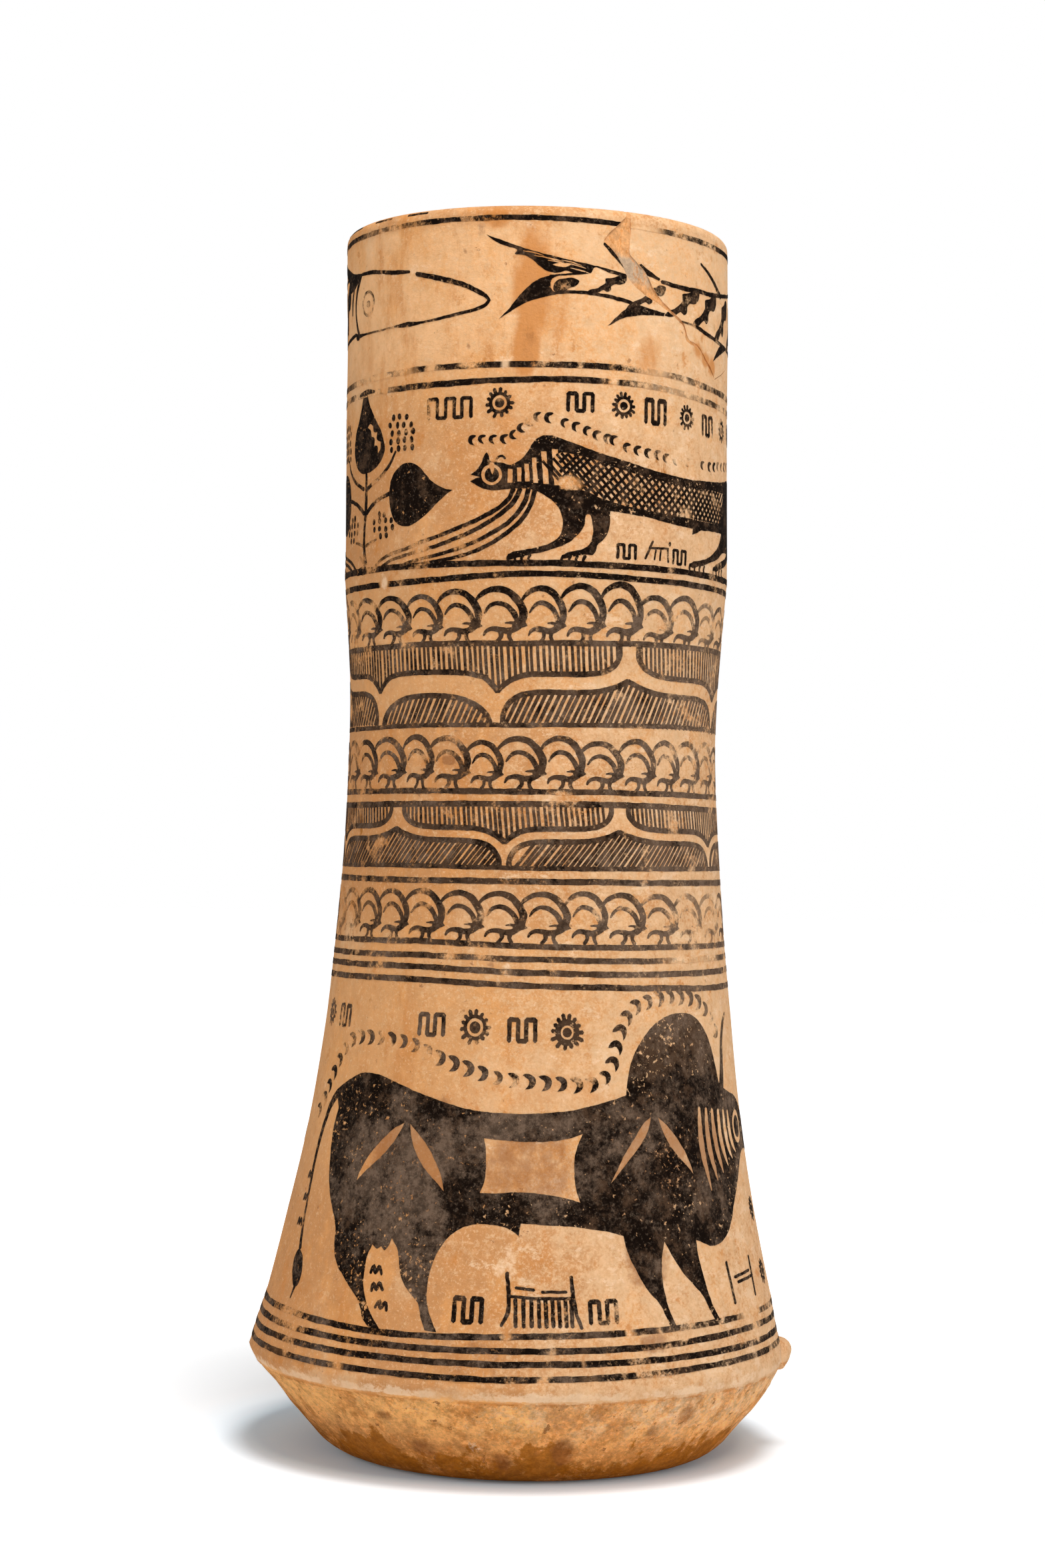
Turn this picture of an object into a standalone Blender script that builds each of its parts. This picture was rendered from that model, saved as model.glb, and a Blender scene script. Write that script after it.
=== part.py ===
"""Tall terracotta storage jar, built from the clay sections that its potter luted together.

A bowl base carries three turned wall sections. Each section drops over the scarfed edge of the one
below, and a coil of soft clay is pressed over the join inside. A lug sits on the carination, and a
sherd of the rim is set back into the neck with a strip of filler along the break.

The jar stands on z = 0 with its axis on Z, and its painted front faces -Y. Angles round the jar are
counted from the front towards +X.
"""

import math

import bmesh
import bpy

MM = 0.001

# Heights of the sections, between the seams that show outside
BASE_HEIGHT = 41 * MM
SKIRT_HEIGHT = 175 * MM
WAIST_HEIGHT = 185 * MM
NECK_HEIGHT = 159 * MM

# Outer radii, and the slopes of the outer wall where the sections meet
BASE_CORNER_RADIUS = 92 * MM
CARINATION_RADIUS = 123.3 * MM
SKIRT_TOP_RADIUS = 92 * MM
NARROWEST_RADIUS = 85.3 * MM
NECK_RADIUS = 88.9 * MM
RIM_RADIUS = 88.5 * MM
SKIRT_FOOT_SLOPE = -0.28
SKIRT_TOP_SLOPE = -0.095
WAIST_TOP_SLOPE = 0.09

# Details of the outline
FOOT_ROUND = 25 * MM
FLANK_BULGE = 0.4 * MM
CARINATION_RISE = 6 * MM
CARINATION_OVERHANG = 1.8 * MM
NARROWEST_DROP = 66 * MM
WALL_THICKNESS = 9 * MM
BASE_THICKNESS = 13 * MM
FLOOR_ROUND = 26 * MM

# Luted joins
SCARF_RISE = 9 * MM
JOIN_GAP = 0.45 * MM
COIL_HEIGHT = 18 * MM
COIL_THICKNESS = 4 * MM
COIL_GAP = 0.35 * MM

# Lug on the carination
LUG_ANGLE = math.radians(88)
LUG_HEIGHT = 16 * MM
LUG_WIDTH = 19 * MM
LUG_REACH = 6.5 * MM
LUG_DROP = 3.5 * MM
LUG_GAP = 0.35 * MM

# Mended break. A station of the filled strip is its angle round the neck in degrees, then its drop
# below the rim and its width, as shares of the break's drop and of the strip's greatest width. The
# rim sherd lies beyond the strip, up to a tight break on its far side.
BREAK_DROP = 68 * MM
FILL_WIDTH = 8 * MM
BREAK_STRIP = (
    (25.5, 0.0, 0.31),
    (24.0, 0.19, 1.0),
    (25.0, 0.31, 0.75),
    (29.0, 0.435, 1.0),
    (33.5, 0.53, 0.8),
    (39.0, 0.61, 0.56),
    (45.0, 0.685, 0.38),
    (57.0, 0.87, 0.38),
)
BREAK_TIP = (66.0, 1.0)
FAR_BREAK = ((80.0, 0.88), (93.0, 0.62), (101.0, 0.41), (106.0, 0.0))
FILL_REACH = 0.6
BREAK_GAP = 0.5 * MM
FILL_RECESS = 0.8 * MM

# Facets
TURN_STEPS = 60
STATION_STEP = 24 * MM
ARC_STEPS = 5
LIP_STEPS = 6
COIL_ROWS = 4
LUG_SEGMENTS = 20
LUG_RINGS = 12
BEND_STEP = math.radians(2.5)
MERGE_DISTANCE = 0.01 * MM

TERRACOTTA = (0.60, 0.33, 0.15, 1.0)
BASE_CLAY = (0.58, 0.31, 0.12, 1.0)
LUTING_CLAY = (0.50, 0.27, 0.13, 1.0)
FILLER = (0.62, 0.36, 0.18, 1.0)
CLAY_ROUGHNESS = 0.8

BASE_SEAM = BASE_HEIGHT
WAIST_SEAM = BASE_SEAM + SKIRT_HEIGHT
NECK_SEAM = WAIST_SEAM + WAIST_HEIGHT
RIM_TOP = NECK_SEAM + NECK_HEIGHT
CARINATION_Z = BASE_SEAM + CARINATION_RISE
NARROWEST_Z = NECK_SEAM - NARROWEST_DROP
LIP_RADIUS = WALL_THICKNESS / 2
LIP_Z = RIM_TOP - LIP_RADIUS


def clear_scene():
    for old in list(bpy.data.objects):
        bpy.data.objects.remove(old)


def collection(name):
    made = bpy.data.collections.new(name)
    bpy.context.scene.collection.children.link(made)
    return made


def clay(name, colour):
    made = bpy.data.materials.new(name)
    made.use_nodes = True
    shader = made.node_tree.nodes["Principled BSDF"]
    shader.inputs["Base Color"].default_value = colour
    shader.inputs["Roughness"].default_value = CLAY_ROUGHNESS
    shader.inputs["Metallic"].default_value = 0.0
    return made


# The outer wall is a chain of cubic curves between stations. A station is its height and radius,
# then the slope of the wall below it and above it, which differ at the shoulder under the neck.
SKIRT_FOOT = (CARINATION_Z, CARINATION_RADIUS, 0.0, SKIRT_FOOT_SLOPE)
SKIRT_TOP = (WAIST_SEAM, SKIRT_TOP_RADIUS, SKIRT_TOP_SLOPE, SKIRT_TOP_SLOPE)
NARROWEST = (NARROWEST_Z, NARROWEST_RADIUS, 0.0, 0.0)
NECK_FOOT = (NECK_SEAM, NECK_RADIUS, WAIST_TOP_SLOPE, 0.0)
NECK_TOP = (RIM_TOP, RIM_RADIUS, 0.0, 0.0)
WALL_STATIONS = (SKIRT_FOOT, SKIRT_TOP, NARROWEST, NECK_FOOT, NECK_TOP)


def wall_radius(z):
    """Outer radius of the wall at height z, above the carination."""
    pairs = list(zip(WALL_STATIONS, WALL_STATIONS[1:]))
    low, high = next((pair for pair in pairs if z <= pair[1][0]), pairs[-1])
    span = high[0] - low[0]
    t = (z - low[0]) / span
    near, far = (1 + 2 * t) * (1 - t) ** 2, t * t * (3 - 2 * t)
    leave, arrive = t * (1 - t) ** 2, t * t * (t - 1)
    return near * low[1] + far * high[1] + span * (leave * low[3] + arrive * high[2])


def inner_radius(z):
    return wall_radius(z) - WALL_THICKNESS


def heights(low, high):
    """Heights from low to high at about STATION_STEP, with the stations that lie between them."""
    stops = [low] + [s[0] for s in WALL_STATIONS if low < s[0] < high] + [high]
    made = []
    for start, stop in zip(stops, stops[1:]):
        count = max(1, round((stop - start) / STATION_STEP))
        made += [start + (stop - start) * i / count for i in range(count)]
    return made + [high]


def curve_through(start, corner, end, steps=ARC_STEPS):
    """Points of the parabola that leaves start towards corner and arrives at end from it."""
    points = []
    for i in range(steps + 1):
        t = i / steps
        blend = ((1 - t) ** 2, 2 * t * (1 - t), t * t)
        points.append(tuple(
            sum(w * p[k] for w, p in zip(blend, (start, corner, end))) for k in range(2)
        ))
    return points


def turned(name, profile, where, material=None, closed=True):
    """A solid of revolution. The profile of (radius, z) runs down its outer side."""
    mesh = bpy.data.meshes.new(name)
    count = len(profile)
    edges = [(i, i + 1) for i in range(count - 1)]
    if closed:
        edges.append((count - 1, 0))
    mesh.from_pydata([(radius, 0.0, z) for radius, z in profile], edges, [])
    made = bpy.data.objects.new(name, mesh)
    where.objects.link(made)
    screw = made.modifiers.new("Turn", "SCREW")
    screw.axis = "Z"
    screw.steps = screw.render_steps = TURN_STEPS
    screw.use_merge_vertices = True
    screw.merge_threshold = MERGE_DISTANCE
    screw.use_smooth_shade = True
    if material:
        mesh.materials.append(material)
    return made


def as_mesh(source, name, where):
    """A plain mesh object of what source shows with its modifiers; source is removed."""
    bpy.context.view_layer.update()
    shown = source.evaluated_get(bpy.context.evaluated_depsgraph_get())
    mesh = bpy.data.meshes.new_from_object(shown)
    mesh.name = name
    work = bmesh.new()
    work.from_mesh(mesh)
    bmesh.ops.remove_doubles(work, verts=work.verts, dist=MERGE_DISTANCE)
    bmesh.ops.recalc_face_normals(work, faces=work.faces)
    work.to_mesh(mesh)
    work.free()
    made = bpy.data.objects.new(name, mesh)
    made.matrix_world = source.matrix_world
    where.objects.link(made)
    bpy.data.objects.remove(source)
    return made


def cut(piece, cutter, operation="DIFFERENCE"):
    step = piece.modifiers.new(operation.title(), "BOOLEAN")
    step.operation = operation
    step.object = cutter
    step.solver = "EXACT"


def hidden(cutter):
    cutter.hide_render = True
    cutter.display_type = "WIRE"
    return cutter


# Turned sections


def flank_points():
    """Outer flank of the base, from the seam under the carination down to the flat of the foot."""
    seam = (CARINATION_RADIUS - CARINATION_OVERHANG, BASE_SEAM)
    corner = (BASE_CORNER_RADIUS, 0.0)
    length = math.dist(seam, corner)
    along = tuple((s - c) / length for s, c in zip(seam, corner))
    half_turn = math.atan2(along[1], along[0]) / 2
    setback = FOOT_ROUND * math.tan(half_turn)
    flank_foot = tuple(c + a * setback for c, a in zip(corner, along))
    points = []
    for i in range(ARC_STEPS):
        t = i / ARC_STEPS
        swell = FLANK_BULGE * 4 * t * (1 - t)
        radius = seam[0] + (flank_foot[0] - seam[0]) * t + along[1] * swell
        points.append((radius, seam[1] + (flank_foot[1] - seam[1]) * t - along[0] * swell))
    return points + curve_through(flank_foot, corner, (corner[0] - setback, 0.0))


def bowl_points():
    """Inner face of the base, from the edge of its floor up to the lip of its scarf."""
    foot_edge = flank_points()[-1][0]
    floor_corner = (foot_edge + BASE_THICKNESS, BASE_THICKNESS)
    floor_edge = (floor_corner[0] - FLOOR_ROUND, BASE_THICKNESS)
    lip = (inner_radius(BASE_SEAM + SCARF_RISE), BASE_SEAM + SCARF_RISE)
    return curve_through(floor_edge, floor_corner, lip)


def inner_face(z):
    """Radius of the inside of the jar at height z, in the bowl or in the wall above it."""
    for low, high in zip(bowl_points(), bowl_points()[1:]):
        if low[1] <= z < high[1]:
            return low[0] + (high[0] - low[0]) * (z - low[1]) / (high[1] - low[1])
    return inner_radius(z)


def make_base(where, material):
    """Bowl with a flat foot. Its edge is bevelled, higher inside, to carry the skirt."""
    profile = [(0.0, BASE_THICKNESS)] + bowl_points() + flank_points() + [(0.0, 0.0)]
    return turned("base_bowl", profile, where, material, closed=False)


def outer_side(low, high, recess=0.0):
    """Outer face of a wall section, from its top down to its seam. A recess sets it back."""
    points = [(wall_radius(z) - recess, z) for z in reversed(heights(low, high))]
    points[-1] = (points[-1][0], low + JOIN_GAP)
    return points


def inner_side(low, top):
    """Inner face of a wall section, from the high edge of the scarf at its seam up to its top."""
    points = [(inner_radius(z), z) for z in heights(low + SCARF_RISE, top)]
    points[0] = (points[0][0], low + SCARF_RISE + JOIN_GAP)
    return points


def make_skirt(where, material):
    """Flaring section. Its foot turns under the carination and overhangs the base."""
    outer = [(wall_radius(z), z) for z in reversed(heights(CARINATION_Z, WAIST_SEAM))]
    outer.append((CARINATION_RADIUS - CARINATION_OVERHANG, BASE_SEAM + JOIN_GAP))
    inner = inner_side(BASE_SEAM, WAIST_SEAM + SCARF_RISE)
    return turned("skirt_wall", outer + inner, where, material)


def make_waist(where, material):
    inner = inner_side(WAIST_SEAM, NECK_SEAM + SCARF_RISE)
    return turned("waist_wall", outer_side(WAIST_SEAM, NECK_SEAM) + inner, where, material)


def neck_profile(recess=0.0):
    """Neck section with a full round lip. A recess sets the outer face back."""
    outer = outer_side(NECK_SEAM, LIP_Z, recess)
    inner = inner_side(NECK_SEAM, LIP_Z)
    middle = (outer[0][0] + inner[-1][0]) / 2
    half = (outer[0][0] - inner[-1][0]) / 2
    lip = []
    for i in range(1, LIP_STEPS):
        turn = math.pi * i / LIP_STEPS
        lip.append((middle - half * math.cos(turn), LIP_Z + half * math.sin(turn)))
    return outer + inner + lip


def make_coil(name, seam, where, material):
    """Coil of soft clay pressed flat over the inside of a join, thickest along its middle."""
    foot = seam + SCARF_RISE - COIL_HEIGHT / 2
    seat, swell = [], []
    for i in range(COIL_ROWS + 1):
        t = i / COIL_ROWS
        z = foot + COIL_HEIGHT * t
        radius = inner_face(z) - COIL_GAP
        seat.append((radius, z))
        swell.append((radius - COIL_THICKNESS * 4 * t * (1 - t), z))
    return turned(name, seat[::-1] + swell[1:-1], where, material)


# Lug


def make_lug(where, cutters, material):
    """Rounded lug that hugs the carination."""
    bpy.ops.mesh.primitive_uv_sphere_add(segments=LUG_SEGMENTS, ring_count=LUG_RINGS, radius=0.5)
    lug = bpy.context.object
    lug.name = lug.data.name = "carination_lug"
    for old in list(lug.users_collection):
        old.objects.unlink(lug)
    where.objects.link(lug)
    depth = 2 * (LUG_REACH + WALL_THICKNESS / 2)
    middle_z = CARINATION_Z - LUG_DROP
    centre = CARINATION_RADIUS + LUG_REACH - depth / 2
    for vertex in lug.data.vertices:
        across, out, up = vertex.co
        vertex.co = (across * LUG_WIDTH, out * depth, up * LUG_HEIGHT)
    lug.location = (centre * math.sin(LUG_ANGLE), -centre * math.cos(LUG_ANGLE), middle_z)
    lug.rotation_euler.z = LUG_ANGLE
    lug.data.materials.append(material)
    lug.data.shade_smooth()
    body = [(wall_radius(z) + LUG_GAP, z) for z in reversed(heights(CARINATION_Z, WAIST_SEAM))]
    body += [(radius + LUG_GAP, z - LUG_GAP) for radius, z in flank_points()]
    body = [(0.0, body[0][1])] + body + [(0.0, body[-1][1])]
    cut(lug, hidden(turned("lug_seat", body, cutters, closed=False)))
    return lug


# Mended break


def on_neck(degrees, drop_share):
    """A point of the unrolled neck, as (arc, z)."""
    return math.radians(degrees) * NECK_RADIUS, RIM_TOP - BREAK_DROP * drop_share


def strip_edge(side, inset=0.0):
    """One edge of the filled strip, from the rim down: side -1 is the neck's, 1 the sherd's."""
    middle = [on_neck(*station[:2]) for station in BREAK_STRIP]
    points = []
    for i, (arc, z) in enumerate(middle):
        before, after = middle[max(i - 1, 0)], middle[min(i + 1, len(middle) - 1)]
        run, rise = after[0] - before[0], after[1] - before[1]
        half_width = FILL_WIDTH * BREAK_STRIP[i][2] / 2
        out = side * (half_width - inset) / math.hypot(run, rise)
        points.append((arc - rise * out, z + run * out))
    return points


def far_edge(inset=0.0):
    """The tight break on the sherd's far side, from the tip of the break up to the rim."""
    points = []
    for station in (BREAK_TIP, *FAR_BREAK):
        arc, z = on_neck(*station)
        points.append((arc - inset, z + inset))
    return points


def fill_tip():
    """Where the filler ends, part of the way from its last station to the tip of the break."""
    last, tip = on_neck(*BREAK_STRIP[-1][:2]), on_neck(*BREAK_TIP)
    return tuple(a + (b - a) * FILL_REACH for a, b in zip(last, tip))


def over_rim(points):
    """The outline carried straight up past the rim at both ends, clear of the lip."""
    above = RIM_TOP + WALL_THICKNESS
    return [(points[0][0], above)] + points + [(points[-1][0], above)]


def bent_cutter(name, outline, cutters):
    """A flat outline of (arc, z), given depth and bent to follow the neck's wall, as a cutter."""
    flat = bpy.data.curves.new(name, "CURVE")
    flat.dimensions = "2D"
    flat.fill_mode = "BOTH"
    flat.extrude = WALL_THICKNESS
    spline = flat.splines.new("POLY")
    spline.points.add(len(outline) - 1)
    for point, (arc, z) in zip(spline.points, outline):
        point.co = (arc, z, 0.0, 1.0)
    spline.use_cyclic_u = True
    drawn = bpy.data.objects.new(name + "_drawn", flat)
    cutters.objects.link(drawn)
    bent = as_mesh(drawn, name, cutters)
    work = bmesh.new()
    work.from_mesh(bent.data)
    step = BEND_STEP * NECK_RADIUS
    arcs = [arc for arc, z in outline]
    for i in range(math.ceil(min(arcs) / step), math.ceil(max(arcs) / step)):
        parts = work.verts[:] + work.edges[:] + work.faces[:]
        bmesh.ops.bisect_plane(work, geom=parts, plane_co=(i * step, 0, 0), plane_no=(1, 0, 0))
    for vertex in work.verts:
        arc, z, depth = vertex.co
        angle = arc / NECK_RADIUS
        radius = wall_radius(min(z, RIM_TOP)) - WALL_THICKNESS / 2 + depth
        vertex.co = (radius * math.sin(angle), -radius * math.cos(angle), z)
    bmesh.ops.recalc_face_normals(work, faces=work.faces)
    work.to_mesh(bent.data)
    work.free()
    return hidden(bent)


def make_neck(where, cutters, material, filler):
    """Neck section, the sherd that was set back into its rim, and the filler between them."""
    neck = turned("neck_wall", neck_profile(), where, material)
    sherd = turned("rim_sherd", neck_profile(), where, material)
    fill = turned("break_fill", neck_profile(FILL_RECESS), where, filler)
    hole = over_rim(strip_edge(-1) + far_edge())
    body = over_rim(strip_edge(1) + far_edge(BREAK_GAP))
    strip = over_rim(strip_edge(-1, BREAK_GAP) + [fill_tip()] + strip_edge(1, BREAK_GAP)[::-1])
    cut(neck, bent_cutter("hole_outline", hole, cutters))
    cut(sherd, bent_cutter("sherd_outline", body, cutters), "INTERSECT")
    cut(fill, bent_cutter("fill_outline", strip, cutters), "INTERSECT")
    return neck, sherd, fill


def main():
    clear_scene()
    jar = collection("terracotta_storage_jar")
    cutters = collection("cutters")
    terracotta = clay("terracotta", TERRACOTTA)
    luting = clay("luting_clay", LUTING_CLAY)
    make_base(jar, clay("base_clay", BASE_CLAY))
    make_skirt(jar, terracotta)
    make_waist(jar, terracotta)
    make_neck(jar, cutters, terracotta, clay("break_filler", FILLER))
    make_coil("base_join_coil", BASE_SEAM, jar, luting)
    make_coil("waist_join_coil", WAIST_SEAM, jar, luting)
    make_coil("neck_join_coil", NECK_SEAM, jar, luting)
    make_lug(jar, cutters, terracotta)


main()
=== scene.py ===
"""Looks of the painted storage jar: handmade clay walls, a mended rim, and friezes in dark slip.

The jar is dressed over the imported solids. Places on its wall are in millimetres: x runs round the
jar from the front towards +X, at the radius of its band, and z is the height above the foot.
"""

import math

import bmesh
import bpy
import numpy as np
from mathutils import Matrix, Vector, noise
from mathutils.geometry import delaunay_2d_cdt


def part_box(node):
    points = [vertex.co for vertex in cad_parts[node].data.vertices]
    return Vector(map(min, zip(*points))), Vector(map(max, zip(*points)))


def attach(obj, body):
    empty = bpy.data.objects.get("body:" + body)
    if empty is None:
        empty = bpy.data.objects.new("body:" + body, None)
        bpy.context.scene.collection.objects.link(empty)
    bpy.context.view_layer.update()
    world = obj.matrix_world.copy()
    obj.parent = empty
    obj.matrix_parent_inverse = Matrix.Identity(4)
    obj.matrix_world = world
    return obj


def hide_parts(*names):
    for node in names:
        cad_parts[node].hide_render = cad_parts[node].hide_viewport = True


bl_info = {
    "name": "Painted storage jar",
    "version": (1, 0, 0),
    "blender": (4, 5, 0),
    "location": "View3D > Sidebar > Jar",
    "description": "Dresses the terracotta jar with handmade walls, painted friezes and a white stage",
    "category": "Object",
}

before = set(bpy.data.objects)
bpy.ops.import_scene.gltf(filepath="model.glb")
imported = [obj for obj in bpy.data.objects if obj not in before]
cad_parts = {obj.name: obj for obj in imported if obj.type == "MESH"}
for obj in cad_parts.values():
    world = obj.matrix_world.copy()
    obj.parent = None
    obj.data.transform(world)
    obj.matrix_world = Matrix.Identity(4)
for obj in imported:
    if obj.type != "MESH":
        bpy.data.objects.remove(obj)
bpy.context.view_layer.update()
BODY = "root"
MM = 0.001


def node_span(node, axis):
    """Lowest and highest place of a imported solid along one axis, in millimetres."""
    low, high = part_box(node)
    return low[axis] / MM, high[axis] / MM


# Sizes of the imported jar
RIM_TOP = node_span("neck_wall", 2)[1]
NECK_SEAM = round(node_span("neck_wall", 2)[0])
WAIST_SEAM = round(node_span("waist_wall", 2)[0])
BASE_SEAM = round(node_span("skirt_wall", 2)[0])
CARINATION_RADIUS = -node_span("skirt_wall", 0)[0]
NECK_RADIUS = -node_span("neck_wall", 0)[0]

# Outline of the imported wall, as its source gives it
CARINATION_Z = BASE_SEAM + 6
CARINATION_OVERHANG = 1.8
SKIRT_TOP_RADIUS = 92
NARROWEST_RADIUS = 85.3
NARROWEST_Z = NECK_SEAM - 66
RIM_RADIUS = 88.5
BASE_CORNER_RADIUS = 92
FOOT_ROUND = 25
FLANK_BULGE = 0.4
BASE_THICKNESS = 13
FLOOR_ROUND = 26
SCARF_RISE = 9
WALL_THICKNESS = 9
LIP_RADIUS = WALL_THICKNESS / 2
LIP_Z = RIM_TOP - LIP_RADIUS

# A station is a height and a radius, then the slope of the wall below and above it
WALL_STATIONS = (
    (CARINATION_Z, CARINATION_RADIUS, 0.0, -0.28),
    (WAIST_SEAM, SKIRT_TOP_RADIUS, -0.095, -0.095),
    (NARROWEST_Z, NARROWEST_RADIUS, 0.0, 0.0),
    (NECK_SEAM, NECK_RADIUS, 0.09, 0.0),
    (RIM_TOP, RIM_RADIUS, 0.0, 0.0),
)

# How far the handmade jar leans to +X, as (height, shift)
LEAN = ((0, 0.5), (32, 0.3), (44, -2.2), (47, -2.7), (58, -2.5), (72, -1.5), (110, -1.1), (150, -0.2),
        (200, 0.7), (270, 0.6), (320, -0.1), (370, 0.3), (410, 0.4), (480, -0.7), (510, -0.7), (560, -1.6))

# Radii at which the painted bands are measured
NECK_BAND = 88.7
WAIST_BAND = 86.0
LOWER_BAND = 90.0
BULL_BAND = 100.0

# Ink of bare clay, sampling steps of the drawing, the mark of a corner point, and the angle of a sharp edge
RESERVE = 0.0
OUTLINE_STEP = 1.0
GRID_STEP = 3.6
CORNER = 1
SHARP_ANGLE = math.radians(40)

# One seed for the unevenness of the brush, so that every run is the same
NOISE_SEED = 11
noise.seed_set(NOISE_SEED)

# Handmade surface


def wall_radius(z):
    """Outer radius of the true turned wall at heights z."""
    z = np.asarray(z, float)
    radius = np.zeros_like(z)
    for low, high in zip(WALL_STATIONS, WALL_STATIONS[1:]):
        span = high[0] - low[0]
        t = np.clip((z - low[0]) / span, 0, 1)
        near, far = (1 + 2 * t) * (1 - t) ** 2, t * t * (3 - 2 * t)
        leave, arrive = t * (1 - t) ** 2, t * t * (t - 1)
        here = near * low[1] + far * high[1] + span * (leave * low[3] + arrive * high[2])
        radius = np.where(z >= low[0], here, radius)
    return radius


def waves(angle, z, seed):
    """A smooth uneven swell of about one unit over the wall, the same on every run."""
    total = np.zeros(np.broadcast(angle, z).shape)
    draw = np.random.default_rng(seed)
    for turns in range(1, 6):
        for length in (70.0, 150.0, 310.0):
            phase, tilt = draw.uniform(0, math.tau, 2)
            total = total + np.cos(turns * angle + phase + z * math.tau / length * math.cos(tilt))
    return total / 5


def sway(angle, z):
    """How far the handmade wall stands out from the turned one."""
    lean = np.interp(z, *zip(*LEAN))
    return lean * np.sin(angle) + 0.32 * waves(angle, z, 4)


def on_wall(angle, z, out=0.0):
    """Points on the outer wall at angles and heights, raised by out along the wall's normal."""
    angle, z = np.asarray(angle, float), np.asarray(z, float)
    rise = np.clip((z - LIP_Z) / LIP_RADIUS, 0, 1)
    level = np.sqrt(1 - rise * rise)
    radius = wall_radius(z) + sway(angle, z) - LIP_RADIUS * (1 - level) + out * level
    height = z + out * rise
    return np.stack([radius * np.sin(angle), -radius * np.cos(angle), height], -1) * MM


def new_mesh(name, points, faces, sharp_angle=SHARP_ANGLE):
    mesh = bpy.data.meshes.new(name)
    mesh.from_pydata([tuple(p) for p in points], [], faces)
    mesh.validate()
    mesh.update()
    mesh.shade_smooth()
    mesh.set_sharp_from_angle(angle=sharp_angle)
    return mesh


def welded(mesh, distance=1e-6):
    work = bmesh.new()
    work.from_mesh(mesh)
    bmesh.ops.remove_doubles(work, verts=work.verts, dist=distance)
    bmesh.ops.dissolve_degenerate(work, edges=work.edges, dist=1e-7)
    work.to_mesh(mesh)
    work.free()
    mesh.set_sharp_from_angle(angle=SHARP_ANGLE)
    return mesh


def place_piece(name, mesh, material, slot, *nodes):
    """Puts a finished mesh in the scene, riding on the jar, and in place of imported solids."""
    made = bpy.data.objects.new(name, mesh)
    bpy.context.scene.collection.objects.link(made)
    mesh.materials.clear()
    mesh.materials.append(material)
    if nodes:
        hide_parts(*nodes)
    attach(made, BODY)
    return made


# Stains and chips on the clay by band, as (x, z, half width, half height, channel, strength).
# Channel 0 is a brown stain, 1 a pale chip and 2 an orange smear.
SPOTS = {
    NECK_BAND: (
        (-20, 554, 7, 5, 2, 1.2), (-26, 549, 3.4, 4.4, 0, 0.55), (50, 497, 7, 9, 2, 0.45),
        (-92, 500, 10, 16, 2, 0.35), (-22, 503, 9, 7, 2, 0.4), (-78, 533, 9, 4, 1, 0.4),
        (-58, 533, 7, 4, 1, 0.45), (-12, 490, 8, 4, 1, 0.45), (-7, 455, 8, 18, 2, 0.45),
        (2, 476, 5, 8, 2, 0.5), (-3, 524, 9, 26, 2, 1.0), (7, 512, 6, 28, 2, 0.5), (-6, 497, 6, 13, 2, 1.5),
        (-5, 498, 4, 9, 0, 0.55), (84, 503, 3.5, 3.5, 2, 1.1), (91, 499.5, 3.5, 3.5, 2, 1.1),
        (98, 497, 3.5, 4, 2, 1.1), (-19, 553, 6, 5, 0, 0.5), (-40, 515, 5, 18, 2, 0.4),
        (-34, 539, 1.2, 1.2, 0, 1.0), (-32, 498, 1, 1, 0, 1.0), (-62, 531, 4, 3, 1, 0.4),
        (84, 505, 9, 5, 1, 0.3), (-14, 469, 5, 10, 2, 0.6), (13, 439.5, 6, 4, 1, 0.5),
    ),
    WAIST_BAND: (
        (-75.5, 396, 3, 3.8, 1, 0.9), (9, 299.5, 8, 1.4, 1, 0.5), (-38.5, 315.5, 3.6, 2, 0, 1.5),
        (-35, 328, 1.8, 1.3, 0, 0.9), (17, 345, 3, 2, 1, 0.7),
    ),
    LOWER_BAND: (
        (-10, 224, 2.4, 3.6, 1, 0.8), (83.5, 233.5, 1.8, 1.4, 1, 1.0), (-16.5, 226.5, 1.6, 1.6, 0, 0.9),
    ),
    BULL_BAND: (
        (51, 65, 7, 5, 0, 0.8), (-7, 100, 5, 13, 1, 0.5), (-16, 90, 4, 5, 1, 0.4), (2, 140, 30, 20, 0, 0.7),
        (2, 140, 30, 20, 2, 0.35), (-48, 142, 28, 28, 0, 0.9), (52, 142, 28, 28, 0, 0.9),
        (92, 136, 18, 28, 0, 0.85), (52, 100, 12, 13, 0, 0.8), (-20, 60, 60, 9, 0, 0.5),
        (85, 100, 18, 20, 2, 0.3), (10, 171, 40, 7, 2, 0.35), (-55, 31, 4, 3, 0, 0.9),
        (-42, 17, 7, 5, 0, 0.9), (-9, 12, 5, 5, 0, 0.8), (18, 17, 5, 8, 0, 0.9), (55, 26, 5, 5, 0, 0.7),
        (68, 32, 5, 5, 0, 0.6), (88, 24, 6, 8, 0, 0.4), (-85, 22, 8, 9, 0, 0.4),
    ),
}


def spot_tint(angle, z):
    """Colours of the stain attribute at places on the wall."""
    tint = np.zeros((len(z), 4))
    for radius, spots in SPOTS.items():
        for x, height, wide, tall, channel, strength in spots:
            away = np.hypot((angle - x / radius) * radius / wide, (z - height) / tall)
            fall = np.clip(1.5 - away, 0, 1)
            tint[:, channel] = np.maximum(tint[:, channel], strength * fall * fall * (3 - 2 * fall))
    return tint


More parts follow.
